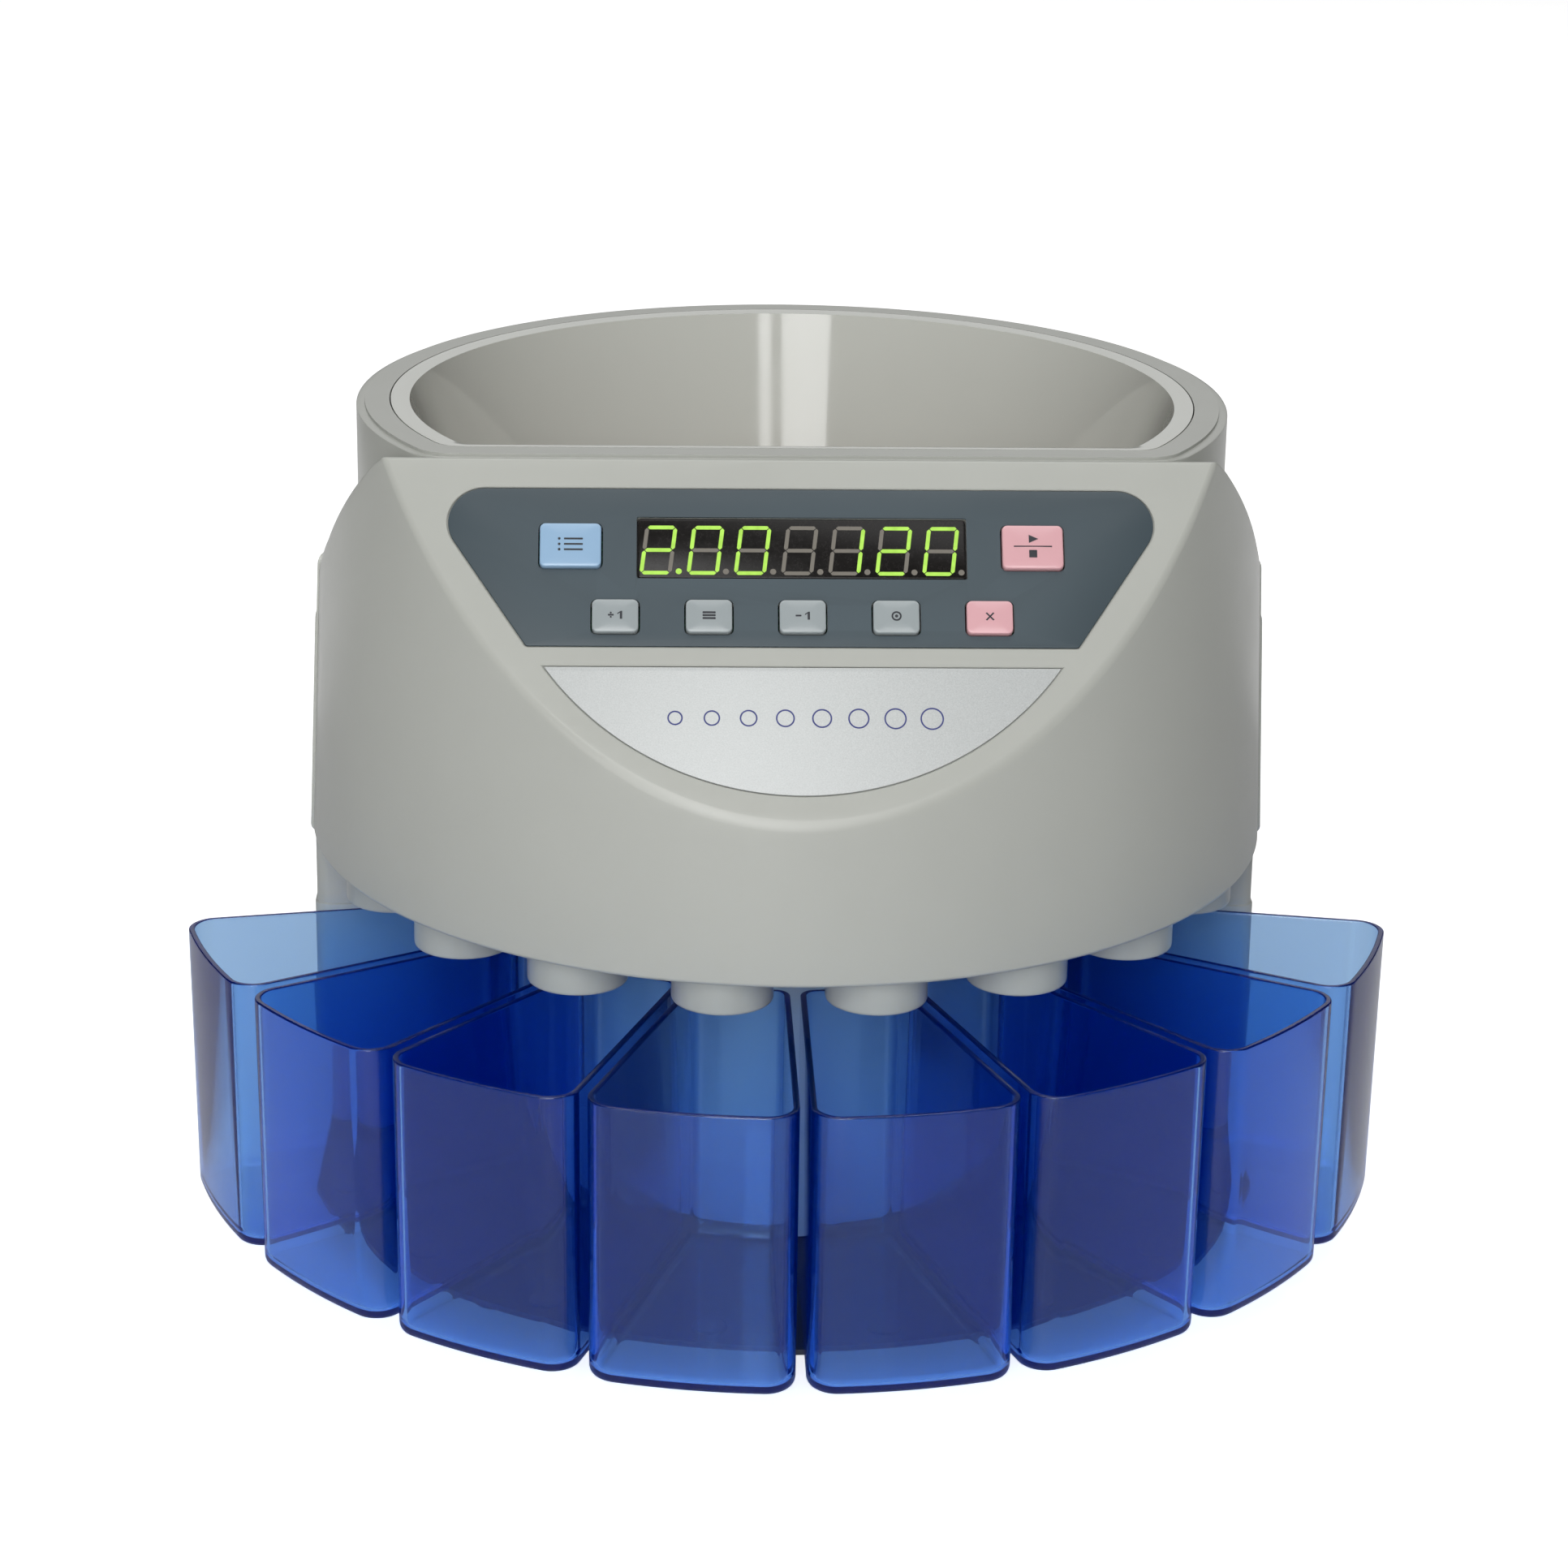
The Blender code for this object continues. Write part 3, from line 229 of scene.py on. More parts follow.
def bin_plastic():
    """Clear cobalt-blue plastic, coloured through its thickness."""
    n = Nodes("bin_blue")
    flow = n.noise(35, 3.0, 0.6, (1, 1, 0.4))
    scuff = n.noise(700, 4.0, 0.75)
    rough = n.ranged(scuff, 0.02, 0.09, 0.45, 0.8)
    normal = n.bump(flow, 0.05, 0.0001)
    volume = n.add("ShaderNodeVolumeAbsorption")
    volume.inputs["Color"].default_value = BIN_TINT
    volume.inputs["Density"].default_value = BIN_DENSITY
    n.link(volume.outputs["Volume"], n.out.inputs["Volume"])
    n.shader.inputs["Base Color"].default_value = (0.77, 0.91, 0.96, 1)
    through = n.add("ShaderNodeBsdfTransparent")
    through.inputs["Color"].default_value = (0.92, 0.92, 0.92, 1)
    mix = n.add("ShaderNodeMixShader")
    n.link(n.add("ShaderNodeLightPath").outputs["Is Shadow Ray"], mix.inputs["Fac"])
    n.link(n.shader.outputs["BSDF"], mix.inputs[1])
    n.link(through.outputs["BSDF"], mix.inputs[2])
    n.link(mix.outputs["Shader"], n.out.inputs["Surface"])
    return n.use(None, rough, normal, Transmission_Weight=1.0, IOR=1.49,
                 Sheen_Weight=0.08, Sheen_Roughness=1.0, Sheen_Tint=(0.0, 0.14, 1.0, 1))


def lens():
    """The smoked window in front of the digits."""
    n = Nodes("smoked_lens")
    dust = n.noise(500, 4.0, 0.8)
    base = n.mixed(n.ranged(dust, 0, 1, 0.4, 0.8), (0.0085, 0.0075, 0.0070), (0.016, 0.014, 0.013))
    return n.use(base, n.ranged(dust, 0.22, 0.30), n.bump(n.noise(40), 0.03, 0.0001), Specular_IOR_Level=0.22)


def glowing(name, colour, strength):
    n = Nodes(name)
    core = n.noise(420, 2.0)
    base = n.mixed(n.ranged(core, 0, 1), shade(colour, 0.85), colour)
    n.link(base, n.shader.inputs["Emission Color"])
    n.shader.inputs["Emission Strength"].default_value = strength
    return n.use(base, n.ranged(core, 0.3, 0.45), n.bump(core, 0.1, 0.00002))


def ink(name, colour):
    n = Nodes(name)
    patch = n.noise(1200, 3.0, 0.7)
    base = n.mixed(n.ranged(patch, 0, 1), colour, shade(colour, 1.4))
    return n.use(base, n.ranged(patch, 0.35, 0.5), n.bump(patch, 0.2, 0.00001))


def felt():
    n = Nodes("disc_mat")
    weave = n.noise(1400, 4.0, 0.8)
    base = n.mixed(n.ranged(weave, 0, 1), (0.33, 0.09, 0.03), (0.55, 0.17, 0.06))
    return n.use(base, n.ranged(weave, 0.7, 0.95), n.bump(weave, 0.6, 0.0001))


# The bins' colour is mostly in their thickness.
BIN_TINT = (0.02, 0.457, 0.92, 1)
BIN_DENSITY = 310.0

SHELL = (0.445, 0.455, 0.420)
MATS = {
    "shell_grey": plastic("shell_grey", SHELL, 0.30),
    # The bowl is the shell's grey plastic, painted 1.26 times lighter: painted light for the light that falls
    # into the bowl, not a paler plastic.
    "bowl_grey_painted_lighter": plastic("bowl_grey_painted_lighter", shade(SHELL, 1.26), 0.08, grain=500, grain_depth=0.000004, mottle=0.02),
    "slate_panel": plastic("slate_panel", (0.043, 0.064, 0.077), 0.46, grain=1800, mottle=0.05, wear=1.3),
    "silver_inlay": foil(),
    "key_grey": plastic("key_grey", (0.345, 0.384, 0.394), 0.16, mottle=0.02, wear=1.06),
    "key_blue": plastic("key_blue", (0.315, 0.480, 0.670), 0.16, mottle=0.02, wear=1.06),
    "key_pink": plastic("key_pink", (0.725, 0.410, 0.440), 0.16, mottle=0.02, wear=1.06),
    "smoked_lens": lens(),
    "bin_blue": bin_plastic(),
    "black_plastic": plastic("black_plastic", (0.014, 0.014, 0.015), 0.42, grain=1200, mottle=0.2, wear=2.2),
    "black_rubber": rubber("black_rubber", (0.018, 0.018, 0.019)),
    "bright_steel": metal("bright_steel", (0.60, 0.61, 0.62), 0.26),
    "zinc_plate": metal("zinc_plate", (0.50, 0.51, 0.49), 0.40, (1, 1, 3)),
    "circuit_board": board(),
    "laminated_iron": metal("laminated_iron", (0.11, 0.11, 0.12), 0.48, (1, 40, 1)),
    "motor_can": metal("motor_can", (0.40, 0.41, 0.43), 0.33, (1, 1, 20)),
    "disc_white": plastic("disc_white", (0.60, 0.60, 0.56), 0.38, mottle=0.05),
    "disc_mat": felt(),
    "digit_lit": glowing("digit_lit", (0.33, 0.60, 0.070), 0.52),
    "digit_dark": plastic("digit_dark", (0.170, 0.155, 0.130), 0.40, mottle=0.06, wear=1.05),
    "ink_navy": ink("ink_navy", (0.030, 0.038, 0.17)),
    "ink_black": ink("ink_black", (0.018, 0.020, 0.026)),
}


# ---- mesh helpers ------------------------------------------------------------------------------------
def sewn(loops, closed_ring=False, closed_loops=True):
    """Quads between point loops, capped at both ends unless the stack closes on itself."""
    bm = bmesh.new()
    rows = [[bm.verts.new(point) for point in loop] for loop in loops]
    count = len(rows[0])
    pairs = list(zip(rows, rows[1:]))
    if closed_ring:
        pairs.append((rows[-1], rows[0]))
    for lower, upper in pairs:
        for i in range(count if closed_loops else count - 1):
            j = (i + 1) % count
            bm.faces.new((lower[i], lower[j], upper[j], upper[i]))
    if not closed_ring:
        bm.faces.new(reversed(rows[0]))
        bm.faces.new(rows[-1])
    return bm


def softened(points, steps=5, closed=False):
    """A path of corners (coordinates..., setback) with each corner drawn as a short curve."""
    count = len(points)
    path = []
    for i, corner in enumerate(points):
        here, reach = Vector(corner[:-1]), corner[-1]
        if reach <= 0 or (not closed and i in (0, count - 1)):
            path.append(here)
            continue
        before, after = Vector(points[i - 1][:-1]) - here, Vector(points[(i + 1) % count][:-1]) - here
        start = here + before.normalized() * min(reach, before.length * 0.49)
        end = here + after.normalized() * min(reach, after.length * 0.49)
        for k in range(steps + 1):
            t = k / steps
            path.append(start * (1 - t) ** 2 + here * 2 * t * (1 - t) + end * t ** 2)
    return [tuple(point) for point in path]


def at_height(outline, z):
    return [(x, y, z) for x, y in outline]


def prism(outline, z0, z1):
    return sewn([at_height(outline, z0), at_height(outline, z1)])


def eased_prism(outline_at, z0, z1, ease):
    """A flat piece whose top edge is eased: outline_at(inset) gives its outline."""
    return sewn([at_height(outline_at(0.0), z0), at_height(outline_at(0.0), z1 - ease),
                 at_height(outline_at(ease * 0.3), z1 - ease * 0.3), at_height(outline_at(ease), z1)])


def circle(radius, segments, x=0.0, y=0.0):
    step = 2 * math.pi / segments
    return [(x + radius * math.cos(i * step), y + radius * math.sin(i * step)) for i in range(segments)]


def turned(profile, segments, x=0.0, y=0.0, hollow=False):
    return sewn([at_height(circle(r, segments, x, y), z) for r, z in profile], closed_ring=hollow)


def arc(cx, cy, radius, start, end, segments):
    step = (end - start) / segments
    return [(cx + radius * math.cos(start + i * step), cy + radius * math.sin(start + i * step))
            for i in range(segments + 1)]


def rounded_box(width, height, corner, segments=6, x=0.0, y=0.0):
    hx, hy = width / 2 - corner, height / 2 - corner
    quarter = math.pi / 2
    points = []
    for i, (sx, sy) in enumerate(((1, 1), (-1, 1), (-1, -1), (1, -1))):
        points += arc(x + sx * hx, y + sy * hy, corner, i * quarter, (i + 1) * quarter, segments)
    return points


def cut_circle(radius, chord, corner, segments=180):
    turn = math.acos((chord - corner) / (radius - corner))
    front = -math.pi / 2
    cx, cy = (radius - corner) * math.sin(turn), -(chord - corner)
    points = arc(cx, cy, corner, front, front + turn, 10)
    points += arc(0, 0, radius, front + turn, front + 2 * math.pi - turn, segments)[1:-1]
    points += arc(-cx, cy, corner, front - turn, front, 10)
    return points


def merged(parts):
    result = bmesh.new()
    for part in parts:
        mesh = bpy.data.meshes.new("scratch")
        part.to_mesh(mesh)
        part.free()
        result.from_mesh(mesh)
        bpy.data.meshes.remove(mesh)
    return result


def on_fan(radius, angle):
    return radius * math.sin(angle), -radius * math.cos(angle)


def bin_angle(index):
    return (index - (BIN_COUNT - 1) / 2) * BIN_PITCH


def raw_object(name, bm, where=ABOUT_AXIS):
    bmesh.ops.recalc_face_normals(bm, faces=bm.faces)
    mesh = bpy.data.meshes.new(name)
    bm.to_mesh(mesh)
    bm.free()
    mesh.transform(where)
    obj = bpy.data.objects.new(name, mesh)
    bpy.context.scene.collection.objects.link(obj)
    return obj


def carve(obj, bm, operation="DIFFERENCE", where=ABOUT_AXIS):
    """Runs one exact Boolean and keeps its result as obj's own mesh."""
    tool = raw_object("cutter", bm, where)
    step = obj.modifiers.new("cut", "BOOLEAN")
    step.object, step.operation, step.solver = tool, operation, "EXACT"
    bpy.context.view_layer.update()
    result = bpy.data.meshes.new_from_object(obj.evaluated_get(bpy.context.evaluated_depsgraph_get()))
    obj.modifiers.clear()
    old = obj.data
    obj.data = result
    bpy.data.meshes.remove(old)
    bpy.data.meshes.remove(tool.data)
    return obj


def finished(obj, finish, body, replaces=(), angle=32):
    """Shading, material and the body that the piece rides on."""
    mesh = obj.data
    mesh.materials.clear()
    mesh.materials.append(MATS[finish])
    mesh.shade_smooth()
    mesh.set_sharp_from_angle(angle=math.radians(angle))
    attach(obj, body)
    if replaces:
        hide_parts(*replaces)
    return obj


def piece(name, bm, finish, body, replaces=(), where=ABOUT_AXIS, angle=32):
    return finished(raw_object(name, bm, where), finish, body, replaces, angle)


# ---- the head's front cover --------------------------------------------------------------------------
EDGE_R = 0.0013            # rounding of the head's outer edges
BEND_R = 0.0050            # softness of the bend in the shoulders
SHOULDER_R = 0.0075        # rounding where the shoulders meet the drum
FACE_N = (math.sin(FACET_ANGLE), math.cos(FACET_ANGLE))        # forward and upward parts of the face's normal


def below_fall(forward, z, y0, z0, fall):
    """Signed distance from the plane that falls backwards from (y0, z0)."""
    return ((forward + y0) * -fall + (z - z0)) / math.hypot(1.0, fall)


def rounded_meeting(parts, radius):
    """Signed distance from the space common to several solids, with its edges rounded."""
    far = np.stack(parts)
    rounded = np.sqrt((np.maximum(far + radius, 0) ** 2).sum(0)) - radius
    return np.where(far.max(0) > -radius, rounded, far.max(0))


def head_gap(r, z, cos_phi, inset, rounding):
    """Signed distance of points in one upright section from the head's skin, negative inside."""
    forward = r * cos_phi
    steep = below_fall(forward, z, RIDGE_Y, FACET_TOP_Z, RIDGE_FALL)
    gentle = below_fall(forward, z, SEAM_Y, SHOULDER_Z, SHOULDER_FALL)
    blend = np.clip(0.5 + (gentle - steep) / (2 * BEND_R), 0, 1)
    shoulder = gentle * (1 - blend) + steep * blend - BEND_R * blend * (1 - blend)
    drum = r - (HEAD_R - HEAD_DRAFT * (z - HEAD_Z)) + inset
    behind = np.clip((-RIDGE_Y - forward) / 0.040, 0.12, 1.0)
    sides = rounded_meeting([drum, shoulder + inset], SHOULDER_R * behind)
    face = (forward + FACET_TOP_Y) * FACE_N[0] + (z - FACET_TOP_Z) * FACE_N[1] + inset * 1.07
    floor_gap = (HEAD_Z - z) - (1.0 if inset else 0.0)
    return rounded_meeting([sides, face, floor_gap], rounding)


def head_sections(angles, inset, rounding, rows, reach):
    """For each angle, points (r, z) along the skin from the lower edge to the hopper's hole."""
    cos_phi = np.cos(angles)[:, None]
    hole_chord = (COLLAR_CHORD + 0.0004) / np.maximum(np.cos(angles), 1e-3)
    hole = np.minimum(HOPPER_R + 0.0004, hole_chord)[:, None]
    z_mid = HEAD_Z + 0.030                         # height from which the skin is searched outwards
    foot = np.arctan2(HEAD_Z - z_mid, HEAD_R - reach - hole)
    t = np.linspace(0, 1, 1600)[None, :]
    beam = foot + (math.pi / 2 - foot) * t
    low, high = np.zeros_like(beam), np.full_like(beam, 0.25)
    for _ in range(34):
        mid = (low + high) / 2
        inside = head_gap(hole + mid * np.cos(beam), z_mid + mid * np.sin(beam), cos_phi, inset, rounding) < 0
        low, high = np.where(inside, mid, low), np.where(inside, high, mid)
    r, z = hole + low * np.cos(beam), z_mid + low * np.sin(beam)
    step = np.hypot(np.diff(r), np.diff(z))
    heading = np.unwrap(np.arctan2(np.diff(z), np.diff(r)))
    turn = np.abs(np.diff(heading, axis=1, prepend=heading[:, :1]))
    weight = step / step.sum(1, keepdims=True) + 0.55 * turn
    along = np.concatenate([np.zeros((len(angles), 1)), np.cumsum(weight, 1)], 1)
    out = []
    for i in range(len(angles)):
        want = np.linspace(0, along[i, -1], rows)
        out.append(np.stack([np.interp(want, along[i], r[i]), np.interp(want, along[i], z[i])], 1))
    return np.array(out)


def head_angles():
    fine = np.arange(50.0, 64.0, 0.35)
    coarse = np.concatenate([np.arange(0.6, 50.0, 1.2), fine, np.arange(64.0, 87.1, 1.1)])
    return np.radians(np.concatenate([-coarse[::-1], coarse]))


def front_cover():
    angles = head_angles()
    outer = head_sections(angles, 0.0, EDGE_R, 72, WALL)
    inner = head_sections(angles, WALL, 0.0006, 20, WALL)
    bm = bmesh.new()
    columns = []
    for angle, skin, lining in zip(angles, outer, inner):
        section = list(skin) + list(lining[::-1])
        section[-1] = (section[-1][0], HEAD_Z)
        columns.append([bm.verts.new((r * math.sin(angle), -r * math.cos(angle), z)) for r, z in section])
    count = len(columns[0])
    for left, right in zip(columns, columns[1:]):
        for i in range(count):
            j = (i + 1) % count
            bm.faces.new((left[i], right[i], right[j], left[j]))
    bm.faces.new(columns[0])
    bm.faces.new(reversed(columns[-1]))
    geometry = bm.verts[:] + bm.edges[:] + bm.faces[:]
    cut = bmesh.ops.bisect_plane(bm, geom=geometry, plane_co=(0, SEAM_Y, 0), plane_no=(0, 1, 0),
                                 clear_outer=True)
    edges = [item for item in cut["geom_cut"] if isinstance(item, bmesh.types.BMEdge)]
    bmesh.ops.edgeloop_fill(bm, edges=edges)
    cover = raw_object("front_cover_shell", bm)
    pockets = [eased_pocket(panel_outline), eased_pocket(badge_outline)]
    carve(cover, merged(pockets), where=ON_FACE)
    holes = [prism(rounded_box(*WINDOW_SIZE, 0.0006, 3, 0, -WINDOW_V), -0.02, 0.02)]
    holes += [prism(rounded_box(*size, 0.0018, 6, x, -v), -0.02, 0.02) for x, v, size in KEYS.values()]
    carve(cover, merged(holes), where=ON_FACE)
    return finished(cover, "shell_grey", "machine", ["front_cover"], 28)


def eased_pocket(outline_at):
    """Cutter for a shallow pocket with a small chamfer at its mouth."""
    return sewn([at_height(outline_at(0.0), -INLAY_DEPTH), at_height(outline_at(0.0), -0.00025),
                 at_height(outline_at(-0.00035), 0.0001), at_height(outline_at(-0.00035), 0.01)])


def panel_outline(inset):
    slope = (PANEL_TOP_X - PANEL_BOTTOM_X) / (PANEL_BOTTOM_V - PANEL_TOP_V)
    lean = math.atan(slope)
    corner, small = PANEL_CORNER_R - inset, 0.0012
    top, bottom = -PANEL_TOP_V - inset, -PANEL_BOTTOM_V + inset

    def side(y):
        return PANEL_TOP_X + slope * (y + PANEL_TOP_V) - inset / math.cos(lean)

    cx = side(top - corner) - corner / math.cos(lean)
    bx = side(bottom + small) - small / math.cos(lean)
    points = arc(bx, bottom + small, small, -math.pi / 2, -lean, 5)
    points += arc(cx, top - corner, corner, -lean, math.pi / 2, 24)
    points += [(-x, y) for x, y in reversed(points)]
    return points


def badge_outline(inset):
    radius = BADGE_RADIUS - inset
    centre = -(BADGE_TIP_V - BADGE_RADIUS)
    top = -BADGE_TOP_V - inset
    turn = math.acos((centre - top) / radius)
    return arc(0, centre, radius, -math.pi / 2 - turn, -math.pi / 2 + turn, 120)


# ---- rear cover, column, tray ------------------------------------------------------------------------
def housing_outline(half_width, inset, front_y, back_y):
    x, back = half_width - inset, back_y - inset
    corner = BACK_CORNER - inset
    points = [(-x, front_y), (x, front_y)]
    points += arc(x - corner, back - corner, corner, 0, math.pi / 2, 36)
    points += arc(-x + corner, back - corner, corner, math.pi / 2, math.pi, 36)
    return points


def rear_cover():
    front = SEAM_Y + GAP

    def hood(inset, front_y, levels):
        loops = []
        for edge, z in levels:
            draft = HEAD_DRAFT * (z - HEAD_Z)
            loops.append(at_height(housing_outline(HEAD_R - draft, inset + edge, front_y, BACK_Y - draft), z))
        return sewn(loops)

    def rounded(inset, front_y, z_low, z_high, rounding):
        profile = softened([(0.0012, z_low, 0), (0.0, z_low + 0.0012, 0.0010), (0.0, z_high, rounding),
                            (0.012, z_high, 0)], 10)
        return hood(inset, front_y, profile[:-1])

    def wedge(inset, front_y, z0, drop):
        bm = hood(inset, front_y, [(0.0, z0), (0.0, SHOULDER_Z + 0.01)])
        fall = Vector((0, SHOULDER_FALL, 1)).normalized()
        end = SEAM_Y + (SHOULDER_Z - DECK_Z) / SHOULDER_FALL + 0.010
        for point, normal in ((Vector((0, SEAM_Y, SHOULDER_Z)) - fall * drop, fall),
                              (Vector((0, end, 0)), Vector((0, 1, 0)))):
            geometry = bm.verts[:] + bm.edges[:] + bm.faces[:]
            cut = bmesh.ops.bisect_plane(bm, geom=geometry, plane_co=point, plane_no=normal, clear_outer=True)
            edges = [item for item in cut["geom_cut"] if isinstance(item, bmesh.types.BMEdge)]
            bmesh.ops.edgeloop_fill(bm, edges=edges)
        if drop == 0:
            on_slope = {vert for vert in bm.verts
                        if abs((vert.co - Vector((0, SEAM_Y, SHOULDER_Z))).dot(fall)) < 1e-5
                        and abs(vert.co.x) > HEAD_R - 0.01}
            brows = [edge for edge in bm.edges if all(vert in on_slope for vert in edge.verts)]
            bmesh.ops.bevel(bm, geom=brows, offset=SHOULDER_R * 0.7, segments=8, profile=0.5, affect="EDGES")
        return bm

    cover = raw_object("rear_cover_shell", rounded(0.0, front, HEAD_Z, DECK_Z, 0.0045))
    carve(cover, wedge(WEDGE_INSET, front, DECK_Z - 0.020, 0.0), "UNION")
    carve(cover, rounded(WALL, front - 0.01, HEAD_Z - 0.01, DECK_Z - WALL, 0.003))
    carve(cover, wedge(WALL + WEDGE_INSET, front - 0.01, DECK_Z - 0.030, WALL))
    carve(cover, prism(circle(HOPPER_R + 0.0005, 200), DECK_Z - 0.02, SHOULDER_Z + 0.02))
    return finished(cover, "shell_grey", "machine", ["rear_cover"])


def column_outline(inset):
    x, front, back = COLUMN_X - inset, SEAM_Y + 0.0003 + inset, BACK_Y - inset
    corner, edge, bulge = BACK_CORNER - inset, max(0.0045 - inset, 0.001), PEDESTAL_R - inset
    start = math.asin(front / bulge)
    points = arc(-x + edge, front + edge, edge, -math.pi, -math.pi / 2, 8)
    points += arc(0, 0, bulge, math.pi - start, 2 * math.pi + start, 96)
    points += arc(x - edge, front + edge, edge, -math.pi / 2, 0, 8)
    points += arc(x - corner, back - corner, corner, 0, math.pi / 2, 36)
    points += arc(-x + corner, back - corner, corner, math.pi / 2, math.pi, 36)
    return points


SOCKET_Z = 0.0440
INLET_X, SWITCH_X, FUSE_X, PORT_X = -0.0620, -0.0340, -0.0120, 0.0500


def column():
    wall = 0.0025
    ledge = BIN_Z + 0.080
    path = softened([(0.0, COLUMN_Z0, 0), (0.0, ledge, 0.0002), (0.0006, ledge + 0.0003, 0.0002),
                     (0.0006, COLUMN_Z1, 0), (wall, COLUMN_Z1, 0), (wall, COLUMN_Z0, 0)], 2)
    bm = sewn([at_height(column_outline(inset), z) for inset, z in path], closed_ring=True)
    shell = raw_object("column_skin", bm)
    holes = [prism(rounded_box(w, h, 0.001, 4, x, -SOCKET_Z), -0.01, 0.01)
             for x, w, h in ((INLET_X, 0.0276, 0.0206), (SWITCH_X, 0.0126, 0.0186), (PORT_X, 0.0246, 0.0106))]
    holes.append(prism(circle(0.0058, 48, FUSE_X, -SOCKET_Z), -0.01, 0.01))
    carve(shell, merged(holes),
          where=ABOUT_AXIS @ Matrix.Translation((0, BACK_Y, 0)) @ Matrix.Rotation(-math.pi / 2, 4, "X"))
    return finished(shell, "shell_grey", "machine", ["column_shell"])


POSTS = ((-0.112, 0.030), (0.112, 0.030), (-0.050, 0.115), (0.050, 0.115))    # they carry the chassis
MOTOR_Y, BELT_SLOT_R = 0.0800, 0.0450


def tray():
    z0, z1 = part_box("outlet_tray")[0].z, HEAD_Z + 0.0050
    plate_z = HEAD_Z + 0.0020
    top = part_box("outlet_tray")[1].z
    inset = WALL + 0.0013
    radius = x = HEAD_R - inset
    corner, back = BACK_CORNER - inset, BACK_Y - inset
    front = -math.pi / 2
    turn = math.acos(-SEAM_Y / radius)
    outline = arc(0, 0, radius, front - turn, front + turn, 120)
    outline += arc(x - corner, back - corner, corner, 0, math.pi / 2, 24)
    outline += arc(-x + corner, back - corner, corner, math.pi / 2, math.pi, 24)
    plate = raw_object("tray_with_spouts", prism(outline, plate_z, z1))
    spout = softened([(SPOUT_IN + 0.0002, z0, 0), (SPOUT_OUT, z0, 0.0012), (SPOUT_OUT, top, 0)], 6)
    solids = [turned(spout, 72, *on_fan(SPOUT_R, bin_angle(i))) for i in range(BIN_COUNT)]
    solids += [turned([(0.0050, plate_z + 0.001), (0.0050, top)], 24, px, py)
               for px, py in POSTS]
    carve(plate, merged(solids), "UNION")
    bores = [turned([(SPOUT_IN + 0.0006, z0 - 0.01), (SPOUT_IN + 0.0006, z0), (SPOUT_IN, z0 + 0.0006),
                     (SPOUT_IN, top + 0.01)], 72, *on_fan(SPOUT_R, bin_angle(i))) for i in range(BIN_COUNT)]
    slot = arc(0, MOTOR_Y, BELT_SLOT_R, 0, math.pi, 32) + arc(0, 0.0, BELT_SLOT_R, math.pi, 2 * math.pi, 32)
    carve(plate, merged(bores + [prism(slot, plate_z - 0.01, z1 + 0.01)]))
    return finished(plate, "shell_grey", "machine", ["outlet_tray"])


# ---- the hopper --------------------------------------------------------------------------------------
def ring_piece(name, corners, finish, body, replaces):
    """A cut-circle ring from section corners (radius, chord, corner radius, z, setback)."""
    path = softened(corners, 6, closed=True)
    bm = sewn([at_height(cut_circle(r, h, c), z) for r, h, c, z in path], closed_ring=True)
    return piece(name, bm, finish, body, replaces)


SEAT_R, SEAT_CHORD, SEAT_CORNER, STEP_R = 0.1186, 0.0644, 0.0095, 0.1152      # the collar's inner step
LIP_R, LIP_CHORD, LIP_CORNER, LIP_UNDER_R = 0.1182, 0.0640, 0.009, 0.1140     # the bowl's lip in it


def hopper():
    skirt, skirt_chord = HOPPER_R - 0.0025, COLLAR_CHORD - 0.0025
    seat_z, step_z = RIM_Z - 0.0044, RIM_Z - 0.0068
    ring_piece("hopper_collar_ring", [
        (HOPPER_R, COLLAR_CHORD, 0.012, BOWL_Z, 0), (HOPPER_R, COLLAR_CHORD, 0.012, RIM_Z - 0.0008, 0.0050),
        (HOPPER_R - 0.0050, COLLAR_CHORD - 0.0006, 0.012, RIM_Z, 0.0030),
        (SEAT_R, SEAT_CHORD, SEAT_CORNER, RIM_Z, 0.0003), (SEAT_R, SEAT_CHORD, SEAT_CORNER, seat_z, 0),
        (STEP_R, SEAT_CHORD, SEAT_CORNER, seat_z, 0), (STEP_R, SEAT_CHORD, SEAT_CORNER, step_z, 0),
        (skirt, skirt_chord, SEAT_CORNER, step_z, 0),
        (skirt, skirt_chord, SEAT_CORNER, BOWL_Z, 0)], "shell_grey", "machine", ["hopper_collar"])
    ring_piece("hopper_bowl_cone", [
        (BOWL_R_LOW, BOWL_CHORD - 0.0004, 0.006, BOWL_Z, 0.0010),
        (BOWL_R + 0.0022, BOWL_CHORD + 0.0002, 0.0075, RIM_Z, 0.0020),
        (LIP_R, LIP_CHORD, LIP_CORNER, RIM_Z, 0.0003), (LIP_R, LIP_CHORD, LIP_CORNER, RIM_Z - 0.0040, 0),
        (LIP_UNDER_R, LIP_CHORD, LIP_CORNER, RIM_Z - 0.0040, 0),
        (BOWL_R_LOW + 0.0028, BOWL_CHORD + 0.0021, 0.006, BOWL_Z, 0)],
        "bowl_grey_painted_lighter", "hopper", ["hopper_bowl"])


# ---- control panel -----------------------------------------------------------------------------------
SEGMENTS = {"0": "abcdef", "1": "bc", "2": "abged", " ": ""}
READING = ("2.", "0", "0", " ", "1", "2", "0")


